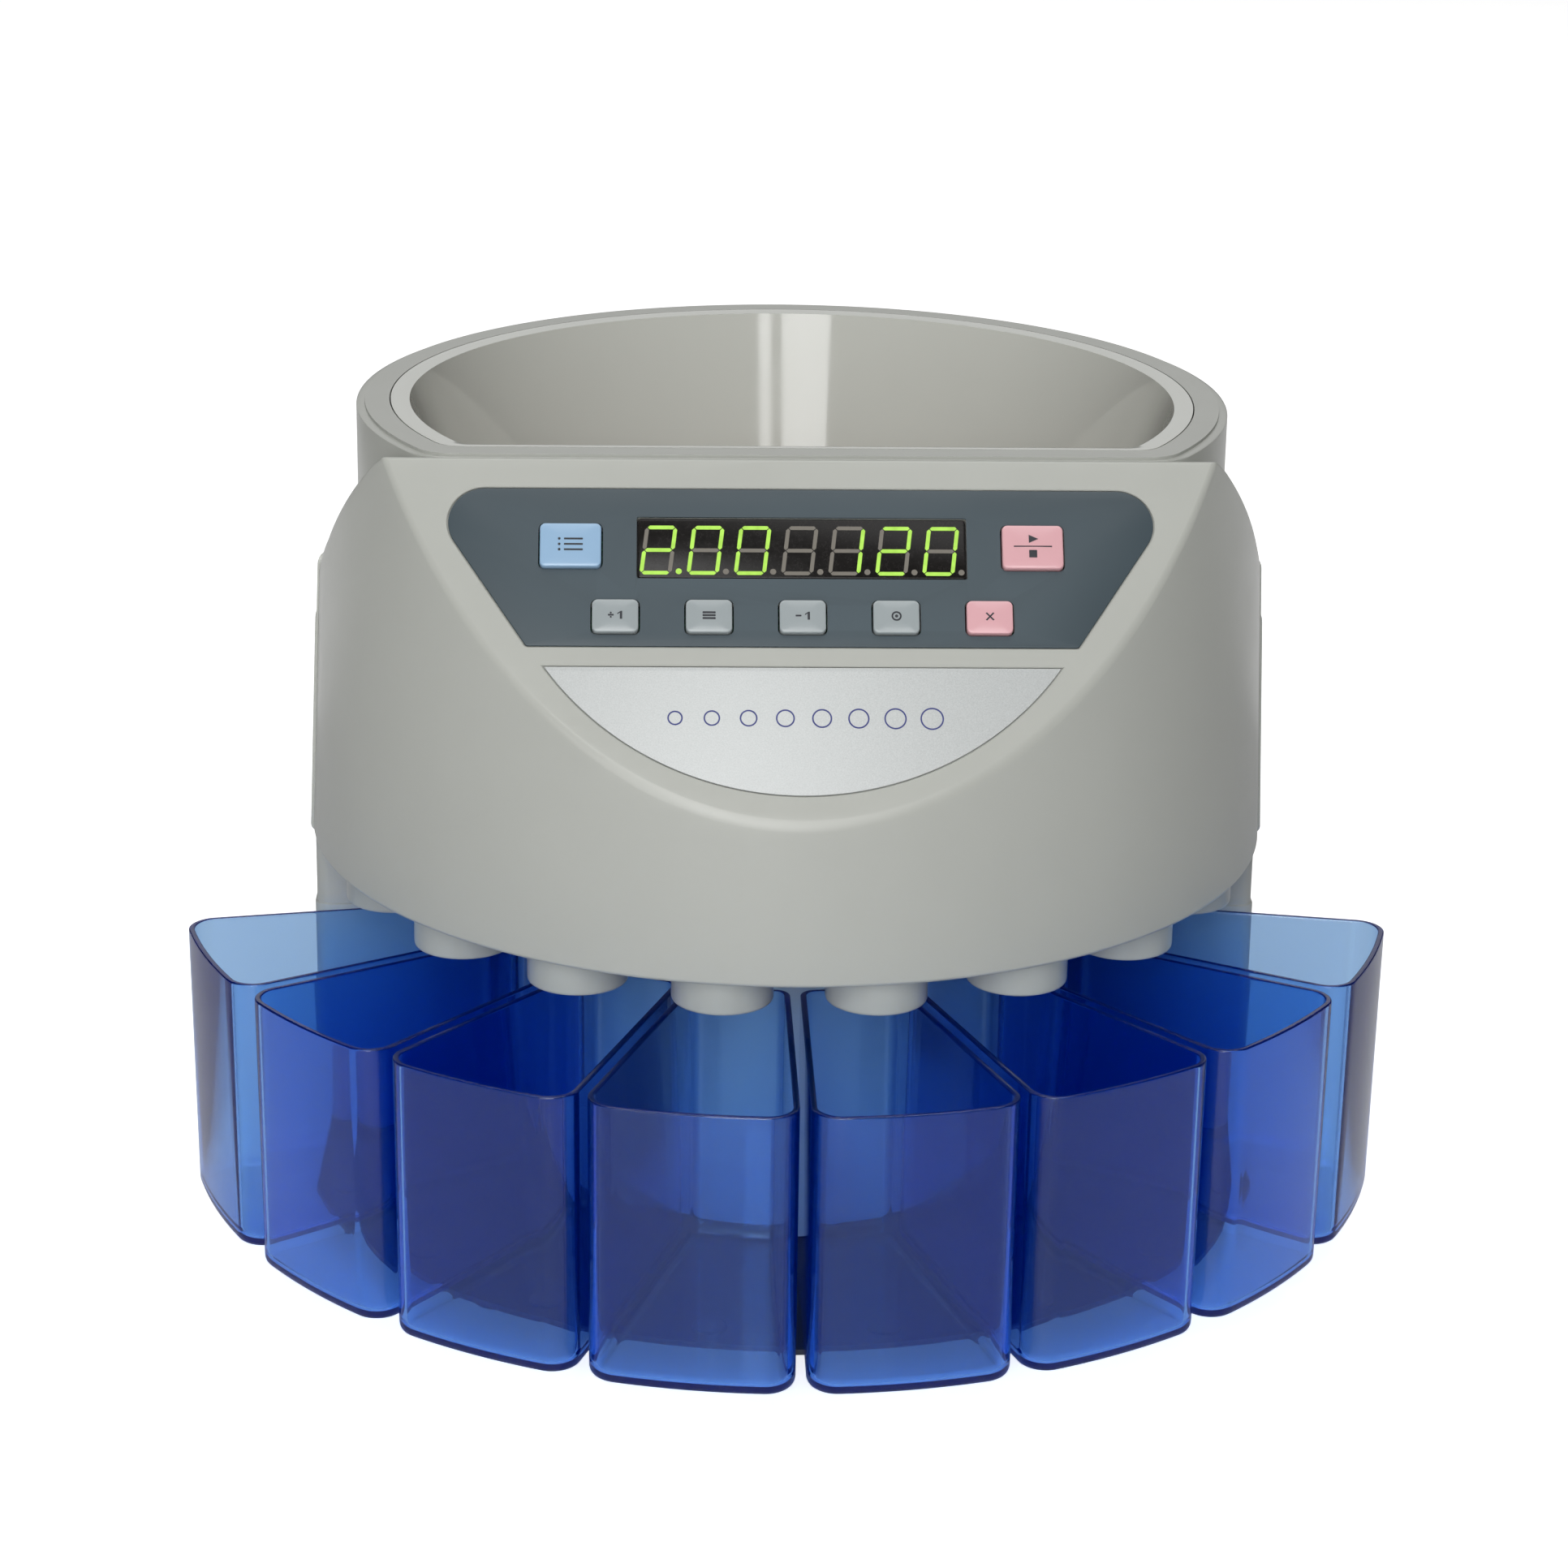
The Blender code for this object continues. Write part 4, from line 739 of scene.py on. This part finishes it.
def segment_outline(name, width, height, thick):
    """A bar with pointed ends, for one segment of a digit about its centre."""
    half_w, half_h, t = width / 2 - thick / 2, height / 2 - thick / 2, thick / 2
    space = 0.00016

    def bar(ax, ay, bx, by):
        dx, dy = bx - ax, by - ay
        length = math.hypot(dx, dy)
        ux, uy = dx / length, dy / length
        ax, ay, bx, by = ax + ux * space, ay + uy * space, bx - ux * space, by - uy * space
        sx, sy = -uy * t, ux * t
        return [(ax, ay), (ax + ux * t - sx, ay + uy * t - sy), (bx - ux * t - sx, by - uy * t - sy),
                (bx, by), (bx - ux * t + sx, by - uy * t + sy), (ax + ux * t + sx, ay + uy * t + sy)]

    ends = {"a": (-half_w, half_h, half_w, half_h), "b": (half_w, half_h, half_w, 0),
            "c": (half_w, 0, half_w, -half_h), "d": (half_w, -half_h, -half_w, -half_h),
            "e": (-half_w, -half_h, -half_w, 0), "f": (-half_w, 0, -half_w, half_h),
            "g": (-half_w, 0, half_w, 0)}
    return bar(*ends[name])


def display():
    z = -0.0004
    width, height, thick, slant = 0.0089, 0.0146, 0.00110, 0.12
    lit, dark = [], []
    for i, sign in enumerate(READING):
        cx, cy = (i - 3) * 0.0130 - 0.0006, -WINDOW_V - 0.0006
        for name in "abcdefg":
            outline = [(cx + x + slant * y, cy + y) for x, y in segment_outline(name, width, height, thick)]
            (lit if name in SEGMENTS[sign[0]] else dark).append(prism(outline, z - 0.0002, z + 0.00005))
        dot = circle(0.00085, 20, cx + 0.0056, cy - height / 2 + 0.0010)
        (lit if sign.endswith(".") else dark).append(prism(dot, z - 0.0002, z + 0.00005))
    piece("display_lens", eased_prism(
        lambda inset: rounded_box(WINDOW_SIZE[0] - 0.0008 - 2 * inset, WINDOW_SIZE[1] - 0.0008 - 2 * inset,
                                  0.0006, 3, 0, -WINDOW_V), -0.0030, z, 0.0002),
          "smoked_lens", "machine", ["display_window"], ON_FACE)
    piece("digits_lit", merged(lit), "digit_lit", "machine", (), ON_FACE)
    piece("digits_unlit", merged(dark), "digit_dark", "machine", (), ON_FACE)


def key_dome(size, x, v):
    """A key cap with a soft crown."""
    width, height = size[0] - 0.0008, size[1] - 0.0008
    outline = rounded_box(width, height, 0.0015, 8)
    loops = [(1.0, -0.0058), (1.0, 0.0005)]
    edge = [(1.0 - 0.045 * (1 - math.cos(a)), 0.0005 + 0.00085 * math.sin(a))
            for a in [math.radians(d) for d in range(15, 91, 15)]]
    crown = [(s, 0.00135 + 0.00030 * (1 - (s / 0.955) ** 2.0))
             for s in (0.88, 0.8, 0.7, 0.55, 0.4, 0.25, 0.1)]
    loops += edge + crown
    return sewn([[(x + px * s, -v + py * s, z) for px, py in outline] for s, z in loops])


KEY_TOP = 0.00166
MARK_LOW, MARK_HIGH = KEY_TOP - 0.0004, KEY_TOP + 0.00004      # the printed marks stand just proud of the key


def strokes(*outlines):
    return [prism(outline, MARK_LOW, MARK_HIGH) for outline in outlines]


def bar(x, y, width, height):
    return rounded_box(width, height, min(width, height) * 0.3, 3, x, y)


def ring_mark(x, y, radius, thick):
    inner = radius - thick
    section = [(radius, MARK_LOW), (radius, MARK_HIGH), (inner, MARK_HIGH), (inner, MARK_LOW)]
    return turned(section, 32, x, y, hollow=True)


def one(x, y):
    """The numeral 1 as a stroke outline."""
    w, h = 0.00032, 0.00115
    return [(x - w, y - h), (x + w, y - h), (x + w, y + h), (x - 0.2 * w, y + h), (x - 3.2 * w, y + 0.45 * h),
            (x - 3.2 * w, y + 0.15 * h), (x - w, y + 0.55 * h)]


def key_marks():
    """Plain pictograms and numbers on the keys."""
    t = 0.00052
    marks = {name: [] for name in KEYS}
    x, y = KEYS["key_upper_left"][0], -KEYS["key_upper_left"][1]
    for k in range(3):                                           # three lines of a list
        line_y = y + (1 - k) * 0.0016
        marks["key_upper_left"] += strokes(bar(x + 0.0008, line_y, 0.0052, t),
                                           bar(x - 0.0031, line_y, 0.0007, t * 1.3))
    x, y = KEYS["key_upper_right"][0], -KEYS["key_upper_right"][1]
    arrow = [(x - 0.0011, y + 0.0010), (x + 0.0015, y + 0.0022), (x - 0.0011, y + 0.0034)]
    square = rounded_box(0.0022, 0.0022, 0.0001, 2, x, y - 0.0022)
    marks["key_upper_right"] += strokes(bar(x, y, 0.0106, 0.00030), arrow, square)
    x, y = KEYS["key_lower_1"][0], -KEYS["key_lower_1"][1]
    sign_x = x - 0.0012
    marks["key_lower_1"] += strokes(bar(sign_x, y, 0.0016, t * 0.9),
                                    bar(sign_x, y + 0.00062, t * 0.9, 0.0005),
                                    bar(sign_x, y - 0.00062, t * 0.9, 0.0005), one(x + 0.0016, y))
    x, y = KEYS["key_lower_2"][0], -KEYS["key_lower_2"][1]
    for k in range(3):                                           # a short stack of coins
        marks["key_lower_2"] += strokes(bar(x, y + (k - 1) * 0.00085, 0.0036, 0.00055))
    x, y = KEYS["key_lower_3"][0], -KEYS["key_lower_3"][1]
    marks["key_lower_3"] += strokes(bar(x - 0.0012, y, 0.0016, t * 0.9), one(x + 0.0016, y))
    x, y = KEYS["key_lower_4"][0], -KEYS["key_lower_4"][1]
    marks["key_lower_4"] += [ring_mark(x, y, 0.0014, t * 0.9)] + strokes(circle(0.00045, 20, x, y))
    x, y = KEYS["key_lower_5"][0], -KEYS["key_lower_5"][1]
    w = 0.0012
    for sign in (1, -1):                                         # a cross
        marks["key_lower_5"] += strokes([(x - w, y - sign * w * 0.8), (x - w + t * 0.7, y - sign * w),
                                         (x + w, y + sign * w * 0.8), (x + w - t * 0.7, y + sign * w)])
    for name, parts in marks.items():
        piece(f"{name}_mark", merged(parts), "ink_black", f"{name}_body", (), ON_FACE)


def slot_of(key):
    coloured = {"key_upper_left": "key_blue", "key_upper_right": "key_pink", "key_lower_5": "key_pink"}
    return coloured.get(key, "key_grey")


def panel():
    z = -INLAY_DEPTH + GAP
    slate = eased_prism(lambda inset: panel_outline(GAP + inset), z, z + INLAY_T, 0.0002)
    sheet = raw_object("slate_sheet", slate, ON_FACE)
    holes = [prism(rounded_box(*WINDOW_SIZE, 0.0006, 3, 0, -WINDOW_V), -0.01, 0.01)]
    holes += [prism(rounded_box(*size, 0.0018, 6, x, -v), -0.01, 0.01) for x, v, size in KEYS.values()]
    carve(sheet, merged(holes), where=ON_FACE)
    finished(sheet, "slate_panel", "machine", ["control_panel"])
    piece("silver_segment", eased_prism(lambda inset: badge_outline(GAP + inset), z, z + INLAY_T, 0.0002),
          "silver_inlay", "machine", ["badge_inlay"], ON_FACE)
    for name, (x, v, size) in KEYS.items():
        finish = slot_of(name)
        piece(f"{name}_cap", key_dome(size, x, v), finish, f"{name}_body", [name], ON_FACE)
    key_marks()
    rings = []
    for i in range(8):                                           # eight coins, from small to large
        radius = 0.0021 + 0.00016 * i
        x = -0.0350 + 0.0100 * i
        rings.append(turned([(radius, -0.0002), (radius, 0.00006), (radius - 0.00042, 0.00006),
                             (radius - 0.00042, -0.0002)], 48, x, -0.0760, hollow=True))
    piece("coin_rings_print", merged(rings), "ink_navy", "machine", (), ON_FACE)


# ---- bins --------------------------------------------------------------------------------------------
def bin_outline(inset, radius):
    half = BIN_PITCH / 2
    gap = BIN_HALF_GAP + inset
    r_far, r_near = radius - inset, BIN_R_IN + inset
    c_far, c_near = max(0.0085 - inset, 0.002), max(0.0045 - inset, 0.0015)
    a_far = half - math.asin((gap + c_far) / (r_far - c_far))
    a_near = half - math.asin((gap + c_near) / (r_near + c_near))
    front = -math.pi / 2
    far, near = r_far - c_far, r_near + c_near
    points = arc(far * math.sin(a_far), -far * math.cos(a_far), c_far, half, front + a_far, 12)
    points += arc(0, 0, r_far, front + a_far, front - a_far, 20)[1:-1]
    points += arc(-far * math.sin(a_far), -far * math.cos(a_far), c_far, front - a_far, -math.pi - half, 12)
    points += arc(-near * math.sin(a_near), -near * math.cos(a_near), c_near,
                  math.pi - half, math.pi / 2 - a_near, 10)
    points += arc(0, 0, r_near, front - a_near, front + a_near, 8)[1:-1]
    points += arc(near * math.sin(a_near), -near * math.cos(a_near), c_near,
                  math.pi / 2 + a_near, half, 10)
    return points


def bins():
    low_r = BIN_R - BIN_DRAFT
    height = BIN_TOP - BIN_Z
    section = softened([(0.0060, low_r, 0, 0), (0.0, low_r, 0, 0.0030), (0.0, BIN_R, height, 0.0006),
                        (BIN_WALL, BIN_R, height, 0.0006), (BIN_WALL + 0.0002, low_r, BIN_WALL, 0.0032),
                        (BIN_WALL + 0.0060, low_r, BIN_WALL, 0)], 6)
    for i in range(BIN_COUNT):
        loops = [at_height(bin_outline(inset, radius), z) for inset, radius, z in section]
        where = ABOUT_AXIS @ Matrix.Translation((0, 0, BIN_Z)) @ Matrix.Rotation(bin_angle(i), 4, "Z")
        piece(f"bin_{i + 1}_clear", sewn(loops), "bin_blue", f"bin_{i + 1}",
              [f"coin_bin_{i + 1}"], where)


# ---- the turning works, seen from above --------------------------------------------------------------
def works():
    low, high = disc_low.z + 0.0004, disc_high.z
    disc = softened([(0.00405, low - 0.0004, 0), (0.0105, low - 0.0004, 0.0004), (0.0945, low, 0.0006),
                     (0.0945, high, 0.0006), (0.00405, high, 0)], 4)
    piece("feed_disc_fine", turned(disc, 160, hollow=True), "disc_white", "disc", ["feed_disc"])
    z0, z1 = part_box("disc_mat")[0].z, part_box("disc_mat")[1].z
    wide, narrow = 0.0880, 0.0225
    mat = softened([(wide, z0, 0), (wide, z1, 0.0005), (narrow, z1, 0.0005), (narrow, z0, 0)], 4, closed=True)
    piece("disc_mat_fine", turned(mat, 160, hollow=True), "disc_mat", "disc", ["disc_mat"])
    z0, z1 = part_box("disc_cone")[0].z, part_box("disc_cone")[1].z
    cone = softened([(0.0220, z0, 0), (0.0220, z0 + 0.0030, 0.0010), (0.0170, z0 + 0.0100, 0.0040),
                     (0.0090, z1 - 0.0020, 0.0050), (0.0008, z1, 0)], 8)
    piece("disc_cone_fine", turned(cone, 96), "disc_white", "disc", ["disc_cone"])


def feet():
    for i in range(4):
        low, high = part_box(f"rubber_foot_{i + 1}")
        centre = (low + high) / 2
        path = softened([(0.0040, 0.0, 0), (0.0082, 0.0, 0.0010), (0.0090, high.z, 0)], 5)
        piece(f"foot_{i + 1}_fine", turned(path, 48), "black_rubber", "machine",
              [f"rubber_foot_{i + 1}"], Matrix.Translation((centre.x, centre.y, 0)))


# ---- carried-over CAD nodes --------------------------------------------------------------------------
CARRIED = {
    "black_plastic": ["base_plate", "display_module", "power_inlet", "switch_frame", "switch_rocker",
                      "fuse_holder", "disc_pulley", "motor_pulley"],
    "bright_steel": ["data_port", "sorting_ring", "guide_rail", "drive_shaft", "motor_shaft", "lower_bearing",
                     "upper_bearing", "cover_screw_1", "cover_screw_2"],
    "zinc_plate": ["sorter_chassis", "bearing_housing", "motor_bracket"],
    "circuit_board": ["key_board", "sensor_board", "main_board"],
    "laminated_iron": ["transformer"],
    "motor_can": ["drive_motor"],
    "black_rubber": ["drive_belt"],
}
BEVELS = {"base_plate": 0.0008, "power_inlet": 0.0003, "switch_frame": 0.0003, "switch_rocker": 0.0003,
          "fuse_holder": 0.0004, "data_port": 0.0002, "sorting_ring": 0.0004, "guide_rail": 0.0003,
          "transformer": 0.0005, "motor_bracket": 0.0003, "drive_motor": 0.0006}


def carried():
    for finish, names in CARRIED.items():
        for name in names:
            obj = nodes[name]
            obj.data.materials.clear()
            obj.data.materials.append(MATS[finish])
            if name in BEVELS:
                ease = obj.modifiers.new("ease", "BEVEL")
                ease.width, ease.segments, ease.limit_method = BEVELS[name], 2, "ANGLE"
                ease.angle_limit = math.radians(35)
                ease.harden_normals = False


# ---- floor, lights, camera ---------------------------------------------------------------------------
FLOOR_GLOW = 0.78          # how much the floor shines towards the camera
GLOW_THROUGH = 0.26        # share of that seen through the bins


def floor():
    bm = bmesh.new()
    bmesh.ops.create_grid(bm, x_segments=4, y_segments=4, size=9.0)
    mesh = bpy.data.meshes.new("studio_floor")
    bm.to_mesh(mesh)
    bm.free()
    obj = bpy.data.objects.new("studio_floor", mesh)
    bpy.context.scene.collection.objects.link(obj)
    n = Nodes("studio_floor")
    tone = n.mixed(n.ranged(n.noise(3, 2.0), 0, 1), (0.80, 0.80, 0.80), (0.82, 0.82, 0.82))
    path = n.add("ShaderNodeLightPath")
    behind = n.add("ShaderNodeMath", operation="MULTIPLY")
    behind.inputs[1].default_value = GLOW_THROUGH
    n.link(path.outputs["Is Transmission Ray"], behind.inputs[0])
    seen = n.add("ShaderNodeMath", operation="MAXIMUM")
    n.link(path.outputs["Is Camera Ray"], seen.inputs[0])
    n.link(behind.outputs["Value"], seen.inputs[1])
    n.link(n.ranged(seen.outputs["Value"], 0.0, FLOOR_GLOW, 0.0, 1.0), n.shader.inputs["Emission Strength"])
    n.shader.inputs["Emission Color"].default_value = (1, 1, 1, 1)
    mesh.materials.append(n.use(tone, n.ranged(n.noise(30), 0.55, 0.65), n.bump(n.noise(400), 0.05, 0.0001)))


def lamp(name, size, at, target, radiance):
    """A soft box of that size in metres, given by radiance: a larger one isn't a brighter one."""
    data = bpy.data.lights.new(name, "AREA")
    data.shape, (data.size, data.size_y) = "RECTANGLE", size
    data.energy = radiance * math.pi * size[0] * size[1]
    obj = bpy.data.objects.new(name, data)
    bpy.context.scene.collection.objects.link(obj)
    obj.location = at
    obj.rotation_euler = (Vector(target) - Vector(at)).to_track_quat("-Z", "Y").to_euler()
    return obj


def around(azimuth, elevation, distance):
    """A point round the machine: azimuth 0 is in front, 90 to the right."""
    a, e = math.radians(azimuth), math.radians(elevation)
    flat = distance * math.cos(e)
    return flat * math.sin(a), -flat * math.cos(a), MIDDLE_Z + distance * math.sin(e)


WORLD = 0.03               # strength of the even light from all round
MIDDLE_Z = 0.15            # height at which the lamps aim


def studio():
    world = bpy.data.worlds.new("studio")
    bpy.context.scene.world = world
    world.use_nodes = True
    background = world.node_tree.nodes["Background"]
    background.inputs["Color"].default_value = (1, 1, 1, 1)
    background.inputs["Strength"].default_value = WORLD
    centre = (0, 0, MIDDLE_Z)
    lamp("top_box", (2.2, 2.2), (0, 0.1, 2.6), centre, 2.1)
    lamp("front_wide", (0.68, 1.60), around(-7.5, 31, 2.6), centre, 6.5)
    lamp("front_narrow", (0.17, 1.60), around(8.4, 31, 2.6), centre, 6.5)
    lamp("front_fill", (1.9, 1.2), around(-15, 9, 2.6), centre, 3.0)
    back = lamp("back_wall", (3.0, 1.1), around(180, 22, 2.8), centre, 0.75)
    back.visible_camera = back.visible_transmission = False
    glow = lamp("paper_glow", (2.7, 2.6), (0.45, 1.75, 0.004), (0.45, 1.75, 1.0), 0.45)
    glow.visible_camera = glow.visible_transmission = False


def camera():
    data = bpy.data.cameras.new("view")
    data.lens, data.sensor_width = 91.96, 36.0
    data.clip_start, data.clip_end = 0.05, 60
    obj = bpy.data.objects.new("view", data)
    bpy.context.scene.collection.objects.link(obj)
    right = Vector((0.999405, -0.031431, 0.014134))
    up = Vector((-0.003117, 0.325972, 0.945416))
    back = right.cross(up)
    rotation = Matrix((right, up, back)).transposed().to_4x4()
    obj.matrix_world = Matrix.Translation((-0.0427, -1.1398, 0.5273)) @ rotation
    bpy.context.scene.camera = obj


front_cover()
rear_cover()
column()
tray()
hopper()
panel()
display()
bins()
works()
feet()
carried()
floor()
studio()
camera()
bpy.context.scene.view_settings.view_transform = "Standard"
